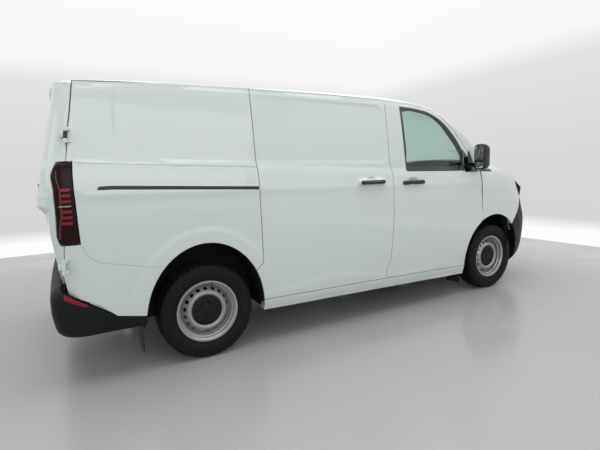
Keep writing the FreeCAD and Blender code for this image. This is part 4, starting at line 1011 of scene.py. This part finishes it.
def dressed_tyre(word, x, side):
    """The tyre with its grooves, cut shoulders and ribs, and a finely ridged sidewall band."""
    centre = Vector((x, side * WHEEL_Y, WHEEL_Z))
    rings = []
    for radius, offset in tyre_profile():
        ring = []
        for i, angle in enumerate(turns(TREAD_STEPS)):
            r = radius
            shoulder = 0.050 < abs(offset) < 0.097 and radius > 0.322
            rib = abs(offset) <= 0.050 and radius > 0.342
            if shoulder and i % TREAD_BLOCK == 0:
                r -= 0.0060
            elif rib and (i + (2 if offset > 0 else 4)) % TREAD_BLOCK == 0 and abs(offset) > 0.02:
                r -= 0.0035
            elif abs(offset) > 0.1045 and 0.242 < radius < 0.262 and i % 2:
                r += 0.0006
            ring.append(centre + Vector((r * math.cos(angle), offset, r * math.sin(angle))))
        rings.append(ring)
    build = Build()
    build.rings(rings + [rings[0]], 0, False, False)
    piece = build.make("dressed_tyre_" + word, [RUBBER], "wheel_" + word, "tyre_rubber")
    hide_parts("tyre_" + word)


VALVE_RADIUS, VALVE_ANGLE = 0.197, 1.36


def hub_cap(word, x, side):
    """A dark centre cap in the disc's proud ring, with six ribs round its middle, and the tyre's valve."""
    build = Build()
    centre = Vector((x, side * WHEEL_Y, WHEEL_Z))

    def at(r, offset, angle):
        return centre + Vector((r * math.cos(angle), side * offset, r * math.sin(angle)))

    face = [(0.1085, 0.050), (0.1125, 0.0545), (0.1120, 0.0580), (0.1085, 0.0605), (0.1000, 0.0618),
            (0.0850, 0.0640), (0.0640, 0.0665), (0.0600, 0.0660), (0.0560, 0.0640), (0.0330, 0.0640),
            (0.0300, 0.0655), (0.0100, 0.0665)]
    rings = []
    for r, offset in face:
        ring = []
        for i, angle in enumerate(turns(144)):
            away = abs((i + 12) % 24 - 12) / 12
            lift = 0.0
            if 0.044 < r < 0.098:
                lift = 0.0045 * (1 - min(1, away * 5)) - 0.0022 * (1 if 0.22 < away < 0.34 else 0)
            ring.append(at(r, offset + lift, angle + 0.25))
        rings.append(ring)
    build.rings(rings, 0, False, True)
    for start, end, r in ((0.046, 0.076, 0.0042), (0.076, 0.086, 0.0055)):
        build.tube([at(VALVE_RADIUS, offset, VALVE_ANGLE) for offset in (start, end)], r)
    build.make("hub_cap_" + word, [CAP], "wheel_" + word, "black_plastic")


def wheels():
    for word, x, side in CORNERS:
        dressed_tyre(word, x, side)
        hub_cap(word, x, side)


# lamps, trims and seals on the body

def strip_on(build, surface, centre_line, half_width, lift, depth, mark=0):
    """A flat strip along (u, z) points, lying on the body's surface."""
    line = resampled(centre_line, 0.01, False)
    across = across_of(line)
    edge_a, edge_b = line + across * half_width, line - across * half_width
    rows = []
    for points, inward in ((edge_a, depth), (edge_a, -lift), (edge_b, -lift), (edge_b, depth)):
        rows.append(surface.place(points[:, 0], points[:, 1], inward))
    rings = [[Vector(rows[k][i]) for k in range(4)] for i in range(len(line))]
    build.rings(rings, mark)


def patch_on(build, surface, outline, lift, depth, mark=0, spacing=0.012, detail=None):
    """A closed plate that follows the body's surface inside a (u, z) outline."""
    loop = wound(resampled(outline, spacing))
    free = lattice_over(loop, spacing)
    free = free[inside(free, loop)]
    free = free[distance_to(free, loop) > spacing * 0.45]
    edges = [(i, (i + 1) % len(loop)) for i in range(len(loop))]
    points = [Vector(p) for p in np.concatenate([loop, free])]
    made, _, triangles, _, _, _ = delaunay_2d_cdt(points, edges, [], 1, 1e-7)
    made = np.array([tuple(v) for v in made])
    raised = lift if detail is None else lift + detail(made[:, 0], made[:, 1])
    top = surface.place(made[:, 0], made[:, 1], -raised)
    back = surface.place(made[:, 0], made[:, 1], depth)
    count = len(made)
    faces = [tuple(t) for t in triangles] + [tuple(reversed([i + count for i in t])) for t in triangles]
    used = dict.fromkeys((t[k], t[(k + 1) % len(t)]) for t in triangles for k in range(len(t)))
    faces += [(b, a, a + count, b + count) for a, b in used if (b, a) not in used]
    build.add(list(top) + list(back), faces, mark)


LAMP_BACK = [(-2.4240, LAMP_LOW + 0.003), (-2.4345, 0.975), (-2.4290, 1.100), (-2.4270, 1.250),
             (-2.4335, 1.335), (-2.4020, LAMP_HIGH - 0.003)]
RED_BARS = (1.250, 1.216, 1.182, 1.122, 1.088, 1.054)
GUIDE_LINE = [(1.362, 0.010), (1.310, 0.013), (1.250, 0.016), (1.100, 0.016), (1.020, 0.011), (0.960, 0.008)]


def tail_lamp(word, surface):
    """The smoked lamp: dark lens, two groups of three red bars, a clear bar between, a thin guide line."""
    back = surface.outline(LAMP_BACK)
    front = surface.outline([(-2.3235, LAMP_BACK[0][1]), (-2.3235, LAMP_BACK[-1][1])])
    shape = [(*front[0], 0.008), (*front[1], 0.010)] + [(u, z, 0.020) for u, z in reversed(back)]
    shape = rounded(shape, 0.02, 6)
    build = Build()
    loop = np.array(shape)

    def crown(u, z):
        points = np.stack([np.ravel(u), np.ravel(z)], 1)
        return 0.0050 * step(distance_to(points, loop), 0.0, 0.016)

    patch_on(build, surface, shape, 0.0012, 0.034, 0, 0.010, crown)

    def back_at(z):
        return np.interp(z, [p[1] for p in back], [p[0] for p in back])

    def bar(z, height, share_from, share_to, mark):
        start = back_at(z) + share_from * (front[0][0] - back_at(z))
        end = back_at(z) + share_to * (front[0][0] - back_at(z))
        low, high = z - height / 2, z + height / 2
        patch_on(build, surface, rounded([(start, low), (start, high), (end, high), (end, low)], 0.003, 2),
                 0.0072, -0.0035, mark, 0.010)

    for z in RED_BARS:
        bar(z, 0.0170, 0.30, 0.80, 1)
    bar(1.154, 0.0085, 0.20, 0.78, 2)
    strip_on(build, surface, [(back_at(z) + inset, z) for z, inset in GUIDE_LINE], 0.0018, 0.0070, -0.003, 3)
    piece = build.make("tail_lamp_lens_" + word, [LAMP_SMOKE, LAMP_RED, LAMP_PALE, LAMP_GUIDE], "van_body",
                       "lamp_red", weld=False)
    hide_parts("tail_lamps")


REFLECTOR = [(-2.436, 0.632), (-2.412, 0.6165), (-2.306, 0.5435), (-2.322, 0.5345), (-2.378, 0.564),
             (-2.436, 0.598)]


def bumper_reflector(side, word):
    """A red reflector along the bumper's slant at each rear corner."""
    build = Build()
    beside = Cast(["rear_bumper"], (0, -side, 0), (1, 0, 0))
    patch_on(build, beside, rounded(REFLECTOR, 0.004, 2), 0.004, -0.001, 0, 0.010)
    build.make("reflector_" + word, [LAMP_RED], "van_body", "lamp_red")


FRAME_ROWS = ((-0.15, 0.020), (-0.15, 0.0005), (0.10, -0.0018), (0.85, -0.0008), (1.0, 0.0020), (1.0, 0.012))


def window_frame(word, surface):
    """The black frame round the cab window, wider over the top and to the front."""
    outer = [(0.300, 1.863, 0.020)] + curved(WINDOW_TOP)[1:] + \
        [(1.1000, 1.2800, 0.01), (1.0850, 1.2700, 0.01), (0.318, 1.2845, 0.018)]
    loop = wound(resampled(rounded(outer, 0.01), 0.012))
    upper = step(loop[:, 1], 1.33, 1.50)
    (wide_from, _), (wide_to, _) = surface.outline([(0.70, 1.5), (1.00, 1.5)])
    forward = step(loop[:, 0], wide_from, wide_to) * step(loop[:, 1], 1.27, 1.30)
    width = (0.010 + 0.016 * upper + 0.026 * forward)[:, None]
    rows = []
    for share, depth in FRAME_ROWS:
        points = loop + inward_of(loop) * width * share
        rows.append(surface.place(points[:, 0], points[:, 1], depth))
    rings = [[Vector(row[i]) for row in rows] for i in range(len(loop))]
    build = Build()
    build.rings(rings + rings[:1], 0, False, False)
    build.make("window_frame_" + word, [GLOSS_BLACK], "cab_door_" + word, "black_plastic", weld=False)


EDGE_ROWS = ((-0.0015, 0.004), (-0.0030, 0.012), (-0.0030, 0.120), (0.0040, 0.120), (0.0040, 0.100))


def arch_edge(word, surface):
    """The black inside of each wheel arch's edge, behind the paint and short of the cab door."""
    for name, wheel_x, arch, from_x in (("rear", REAR_AXLE_X, REAR_ARCH, FIELD_U[0]),
                                        ("front", FRONT_AXLE_X, FRONT_ARCH, DOOR_FRONT_X + 0.014)):
        rings = []
        for angle in math.pi * np.linspace(0, 1, 70):
            if wheel_x + arch[0] * math.cos(angle) < from_x:
                continue
            row = []
            for grow, inward in EDGE_ROWS:
                u = min(wheel_x + (arch[0] + grow) * math.cos(angle), FIELD_U[1] - 0.02)
                row.append(Vector(spot(surface, u, WHEEL_Z + (arch[1] + grow) * math.sin(angle), inward)))
            rings.append(row)
        build = Build()
        build.rings(rings, 0, False, False, closed=False)
        build.make("arch_edge_%s_%s" % (name, word), [UNDER], "van_body", "black_plastic", weld=False)


def rail_channel(surface):
    """The rail's slot: a dark channel behind its hole in the quarter panel, with a pale runner below."""
    top = [(-2.198, 1.2470), (-2.165, 1.2560), (-2.12, 1.2575), (-1.142, 1.2100)]
    low = [(-2.198, 1.2400), (-2.12, 1.2395), (-1.142, 1.1910)]
    rings = []
    for u, z in resampled(top, 0.02, False):
        bottom = line_height(low, u) - 0.003
        rings.append([Vector(spot(surface, u, height, inward)) for height, inward in
                      ((z + 0.006, 0.006), (z + 0.006, 0.034), (bottom, 0.034), (bottom, 0.006))])
    build = Build()
    build.rings(rings, 0, False, False, closed=False)
    build.make("rail_channel", [TRIM], "van_body", "black_plastic", weld=False)
    runner = Build()
    line = resampled([(-2.17, 1.2440), (-2.12, 1.2445), (-1.145, 1.1965)], 0.02, False)
    strip_on(runner, surface, line, 0.0022, -0.012, 0.030)
    runner.make("rail_runner", [STEEL], "van_body", "black_plastic", weld=False)


PULL_HEIGHT, PULL_STAND, PULL_THICK = 0.036, 0.026, 0.0085


def pull_handle(name, surface, middle, length, body, replaces):
    """A grab handle that stands off the panel on two feet, rounded at its ends."""
    build = Build()
    count = 30
    half_height = PULL_HEIGHT * 0.5
    rings = []
    for i in range(count + 1):
        t = i / count
        u = middle[0] + (t - 0.5) * length
        end = min(t, 1 - t) * length
        share = math.sqrt(max(0.0, 1 - (1 - min(1, end / half_height)) ** 2))
        tall = max(half_height * share, 0.0006)
        stand = PULL_STAND * (1 - 0.35 * (2 * t - 1) ** 2)
        thick = PULL_THICK * max(share, 0.1)
        rings.append([Vector(spot(surface, u, middle[1] + tall * math.sin(a),
                                  -stand + 0.006 - thick * math.cos(a))) for a in turns(14)])
    build.rings(rings)
    for end in (-1, 1):
        u = middle[0] + end * (length * 0.5 - 0.026)
        build.rings([[Vector(spot(surface, u + r * math.cos(a), middle[1] + r * 0.8 * math.sin(a), depth))
                      for a in turns(16)] for depth, r in ((0.018, 0.0125), (-0.012, 0.0105))])
    piece = build.make(name, [TRIM], body, "black_plastic")
    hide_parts(*replaces)


def mirror_x(x):
    """x in the housing, which is 0.6 as deep as the frame's, measured from its front."""
    return MIRROR_FRONT_X - (MIRROR_FRONT_X - x) * MIRROR_DEPTH_SHARE


def mirror_faces(side, word):
    """The slimmer housing, two glass faces in its back with their rim, and the repeater at its foot."""
    data = nodes["mirror_" + word].data
    housing = Build()
    housing.add([(mirror_x(v.co.x), v.co.y, v.co.z) for v in data.vertices],
                [list(p.vertices) for p in data.polygons])
    piece = housing.make("mirror_housing_" + word, [GLOSS_TRIM], "cab_door_" + word, "black_plastic")
    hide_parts("mirror_" + word)
    build = Build()
    y_middle = side * (1.137 - 0.059)
    corners = ((1, 1, 0), (-1, 1, 90), (-1, -1, 180), (1, -1, 270))

    def panel(z_low, z_high, half_y, x, thick, radius, mark):
        z_middle, half_z = (z_low + z_high) / 2, (z_high - z_low) / 2
        turned = [(y_middle + y_sign * (half_y - radius), z_middle + z_sign * (half_z - radius),
                   math.radians(start + 18 * k)) for y_sign, z_sign, start in corners for k in range(6)]
        rings = []
        for depth, grow in ((0.0, 0.0), (-thick * 0.6, 0.0), (-thick, -0.0025)):
            r = radius + grow
            rings.append([Vector((mirror_x(x) + depth, y + r * math.cos(a), z + r * math.sin(a)))
                          for y, z, a in turned])
        build.rings(rings, mark)

    panel(1.283, 1.511, 0.0545, 1.0905, 0.004, 0.030, 0)
    panel(1.362, 1.503, 0.0475, 1.0870, 0.002, 0.024, 1)
    panel(1.290, 1.350, 0.0475, 1.0870, 0.002, 0.016, 1)
    build.make("mirror_glass_" + word, [GLOSS_BLACK, MIRROR], "cab_door_" + word, "black_plastic", weld=False)
    repeater = Build()
    repeater.rounded_box((mirror_x(1.150), y_middle - 0.052, 1.2745),
                         (mirror_x(1.262), y_middle + 0.052, 1.2845))
    repeater.make("mirror_repeater_" + word, [AMBER], "cab_door_" + word, "lamp_clear")


def mudflaps():
    build = Build()
    for side, _ in SIDES:
        for x, low, high in ((1.0560, 0.125, 0.305), (-2.0060, 0.150, 0.330)):
            y_from, y_to = sorted((side * 0.800, side * 0.965))
            build.rounded_box((x - 0.004, y_from, low), (x + 0.004, y_to, high), 0.003)
    build.make("mudflaps", [SEAL], "van_body", "black_plastic")


PLATE_Z, PLATE_LOW, PLATE_HIGH = 1.062, 1.006, 1.118


def rear_fittings(surfaces):
    """On the wing doors: handle, the rail over the plate, a blank plate and the third brake lamp."""
    right, left = surfaces[RIGHT], surfaces[LEFT]
    handle = Build()
    x, y, _ = spot(right, u_of_y(0.052), 1.262)
    handle.rounded_box((x - 0.044, y - 0.050, 1.236), (x - 0.006, y + 0.032, 1.288), 0.012)
    handle.rounded_box((x - 0.010, y - 0.056, 1.228), (x + 0.012, y + 0.040, 1.296), 0.008)
    handle.make("rear_handle", [TRIM], "wing_door_right", "black_plastic")
    plate_u = u_of_y(0.40)
    plate_lamp = Build()
    x = spot(left, plate_u, 1.135)[0]
    plate_lamp.rounded_box((x - 0.022, 0.20, 1.140), (x + 0.010, 0.61, 1.166), 0.008)
    plate_lamp.make("plate_lamp_rail", [TRIM], "wing_door_left", "black_plastic")
    plate = Build()
    tilt = (spot(left, plate_u, 1.110)[0] - spot(left, plate_u, 1.010)[0]) / 0.1
    low, high = (spot(left, plate_u, PLATE_Z, PLATE_DEPTH)[0] + tilt * (z - PLATE_Z) - 0.0015
                 for z in (PLATE_LOW, PLATE_HIGH))
    ring = [Vector(p) for p in ((low, 0.145, PLATE_LOW), (low, 0.665, PLATE_LOW), (high, 0.665, PLATE_HIGH),
                                (high, 0.145, PLATE_HIGH))]
    plate.rings([ring, [p - Vector((0.0022, 0, 0)) for p in ring]])
    plate.make("rear_plate", [PAINT_INSIDE], "wing_door_left", "white_paint", weld=False, flat=True)
    brake = Build()
    x = spot(right, u_of_y(0.10), 1.868)[0]
    brake.rounded_box((x - 0.007, -0.105, 1.856), (x + 0.010, -0.004, 1.874), 0.003)
    brake.make("third_brake_lamp", [LAMP_RED], "wing_door_right", "lamp_red")


REAR_HINGES = ((-2.417, -1.036, 0.800), (-2.341, -0.974, 1.570))


def rear_hinges_dressed(low, high):
    """Short painted hinges, the upper one's barrel dark, in place of the frame's long leaves."""
    low, high = Vector(low), Vector(high)
    along = (high - low).normalized()
    for side, word in SIDES:
        door, body = Build(), Build()
        for centre in (low, high):
            for build, start, end in ((door, -0.0205, 0.0205), (body, -0.0460, -0.0220),
                                      (body, 0.0220, 0.0460)):
                ends = [centre + along * offset for offset in (start, end)]
                mark = 1 if build is door and centre is high else 0
                build.tube([(p.x, -side * p.y, p.z) for p in ends], 0.0105, 14, mark)
            y_from, y_to = sorted((side * (abs(centre.y) - 0.004), side * (abs(centre.y) - 0.050)))
            for build, x_from, x_to, z_from, z_to in ((door, -0.030, 0.0, -0.015, 0.015),
                                                      (body, 0.0, 0.024, -0.044, -0.026),
                                                      (body, 0.0, 0.024, 0.026, 0.044)):
                build.rounded_box((centre.x + x_from, y_from, centre.z + z_from),
                                  (centre.x + x_to, y_to, centre.z + z_to), 0.003)
        piece = door.make("door_hinge_" + word, [PAINT, TRIM], "wing_door_" + word, "white_paint")
        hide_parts("rear_hinge_leaves_" + word)
        piece = body.make("body_hinge_" + word, [PAINT], "van_body", "white_paint")
        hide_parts("rear_hinge_mounts")


SAIL_TIP = [(1.3275, 1.2570), (1.3275, 1.3060), (1.4300, 1.3020), (1.5000, 1.2850), (1.5510, 1.2535)]
DOOR_CARD = [(0.250, 0.450), (0.250, 1.325), (1.100, 1.318), (1.125, 0.800), (1.060, 0.640), (1.000, 0.450)]


def cab_trim(surfaces):
    """Door cards, headliner and the sail's black tip on the fender."""
    for side, word in SIDES:
        surface = surfaces[side]
        card = Build()
        patch_on(card, surface, rounded(DOOR_CARD, 0.03, 4), -WALL - 0.0005, WALL + 0.022, 0, 0.03)
        card.make("door_card_" + word, [CARD], "cab_door_" + word, "trim_grey", weld=False)
        tip = Build()
        patch_on(tip, surface, rounded(SAIL_TIP, 0.006, 3), 0.0040, 0.002)
        tip.make("sail_tip_" + word, [TRIM], "van_body", "black_plastic", weld=False)
    roof = Build()
    roof.rounded_box((0.110, -0.700, 1.868), (0.620, 0.700, 1.884), 0.006)
    roof.make("headliner", [HEADLINER], "van_body", "trim_grey")


CAST_FROM = 3.0


class Cast:
    """Frame nodes seen along one direction, with the same place() as a body surface."""

    def __init__(self, names, direction, across):
        self.tree = tree_of(names)
        self.direction, self.across = Vector(direction), Vector(across)

    def at(self, u, z):
        return self.across * float(u) + Vector((0, 0, float(z)))

    def place(self, u, z, inward=0.0):
        """Where the rays hit. A ray that misses stops level with the nearest point."""
        rows = []
        nearest = self.tree.find_nearest(self.at(np.mean(u), np.mean(z)) - self.direction)[0]
        reach = nearest.dot(self.direction) + CAST_FROM
        for a, b, depth in zip(u, z, np.broadcast_to(inward, np.shape(u))):
            start = self.at(a, b) - self.direction * CAST_FROM
            hit = self.tree.ray_cast(start, self.direction)
            if hit[0] is not None:
                reach = hit[3]
            else:
                nearest = self.tree.find_nearest(start + self.direction * reach)[0]
                reach = (nearest - start).dot(self.direction)
            rows.append(start + self.direction * (reach + float(depth)))
        return np.array([tuple(r) for r in rows])


BUMPER_WING = [(1.930, 0.732), (2.050, 0.832), (2.150, 0.926), (2.160, 0.914), (1.985, 0.634)]
WING_ARCH_Z = (0.575, 0.668)
LAMP_CORNER = [(2.150, 1.030), (2.188, 1.026), (2.180, 0.978), (2.168, 0.952)]
LAMP_COVER = [(0.575, 0.948), (0.575, 1.056), (0.700, 1.058), (0.850, 1.058), (0.856, 0.948)]
LAMP_BOWLS = ((0.655, 0.036), (0.755, 0.030))
BOWL_RINGS = ((1.0, 0.0046, 1), (0.72, 0.0060, 0), (0.42, 0.0074, 1))
DOWN = Vector((0, 0, -1))


def nose_trim(side, word):
    """The bumper's wing on the fender, and the headlamp's cover with its bowls, light line and filler."""
    beside = Cast(["fender_" + word], (0, -side, 0), (1, 0, 0))
    front = Cast(["headlamps"], (-1, 0, 0), (0, side, 0))
    wing = Build()
    reach = FRONT_ARCH[0] - 0.0025
    at_arch = [(FRONT_AXLE_X + reach * math.sqrt(1 - ((z - WHEEL_Z) / reach) ** 2), z)
               for z in np.linspace(*WING_ARCH_Z, 7)]
    beside_all = Cast(["fender_" + word, "front_bumper"], (0, -side, 0), (1, 0, 0))
    patch_on(wing, beside_all, BUMPER_WING + at_arch, 0.0030, 0.045, 0, 0.014)
    wing.make("bumper_wing_" + word, [BUMPER], "van_body", "black_plastic")
    lamp = Build()
    patch_on(lamp, beside, rounded(LAMP_CORNER, 0.006, 2), 0.0030, 0.002, 0, 0.010)
    patch_on(lamp, front, rounded(LAMP_COVER, 0.012, 4), 0.0040, 0.003, 0, 0.010)
    for y, radius in LAMP_BOWLS:
        for share, lift, mark in BOWL_RINGS:
            r = share * radius
            ring = [(y + r * math.cos(a), 1.003 + r * math.sin(a)) for a in turns(32)]
            patch_on(lamp, front, ring, lift, -0.0030, mark, 0.010)
    strip_on(lamp, front, [(0.590, 0.957), (0.845, 0.957)], 0.0028, 0.0058, -0.003, 1)
    lid = tree_of(["bonnet"])
    low, high = [], []
    for t in np.linspace(0, 1, 14):
        low.append(Vector(spot(front, 0.580 + 0.276 * t, 1.058, 0.008)))
        x_back = 2.372 - 0.300 * t ** 0.8
        y_back = 0.590 + 0.238 * t
        hit = lid.ray_cast(Vector((x_back, side * min(y_back, 0.800), 2.0)), DOWN)
        z_back = (hit[0].z - 0.012 if hit[0] is not None else 1.064) - 0.024 * t * t
        high.append(Vector((x_back, side * y_back, z_back)))
    lamp.rings([[a, b, b + DOWN * 0.006, a + DOWN * 0.006] for a, b in zip(low, high)])
    lamp.make("headlamp_cover_" + word, [LAMP_GLASS, LAMP_PALE], "van_body", "lamp_clear")


BROW_HALF, BROW_OUT, BROW_FRONT_X = 0.700, 0.036, -2.340


def roof_brow():
    """The lip that stands over the rear doors, along the roof's own rear edge."""
    tree = tree_of(["roof_panel"])
    build = Build()
    rings = []
    for y in np.linspace(-BROW_HALF, BROW_HALF, 61):
        top = tree.ray_cast(Vector((BROW_FRONT_X, y, 2.5)), DOWN)[0].z
        share = abs(y) / BROW_HALF
        out = BROW_OUT * (1 - share ** 8)
        back = BROW_FRONT_X - 0.020 - 0.020 * (1 - share ** 2)
        ring = [(BROW_FRONT_X + 0.020, 0.0012), (BROW_FRONT_X, 0.0022), (back - out * 0.5, -0.0010),
                (back - out * 0.85, -0.0050), (back - out, -0.0120), (back - out * 0.9, -0.0180),
                (back - out * 0.4, -0.0200), (BROW_FRONT_X, -0.0120)]
        rings.append([Vector((x, y, top + z)) for x, z in ring])
    build.rings(rings)
    build.make("roof_brow", [PAINT], "van_body", "white_paint")


def trims(surfaces):
    rear_hinges_dressed(*REAR_HINGES)
    cab_trim(surfaces)
    roof_brow()
    for side, word in SIDES:
        nose_trim(side, word)
    for side, word in SIDES:
        tail_lamp(word, surfaces[side])
        window_frame(word, surfaces[side])
        bumper_reflector(side, word)
        arch_edge(word, surfaces[side])
        mirror_faces(side, word)
        pull_handle("cab_door_pull_" + word, surfaces[side], CAB_PULL, 0.268, "cab_door_" + word,
                    ["door_handle_" + word])
    pull_handle("sliding_door_pull", surfaces[RIGHT], SLIDE_PULL, 0.262, "van_body", ["sliding_door_handle"])
    rail_channel(surfaces[RIGHT])
    mudflaps()
    rear_fittings(surfaces)


def main():
    dress_nodes()
    surfaces = pressed_body()
    wheels()
    trims(surfaces)
    studio()
    lights()
    camera()
    bpy.context.scene.view_settings.view_transform = "Standard"


main()
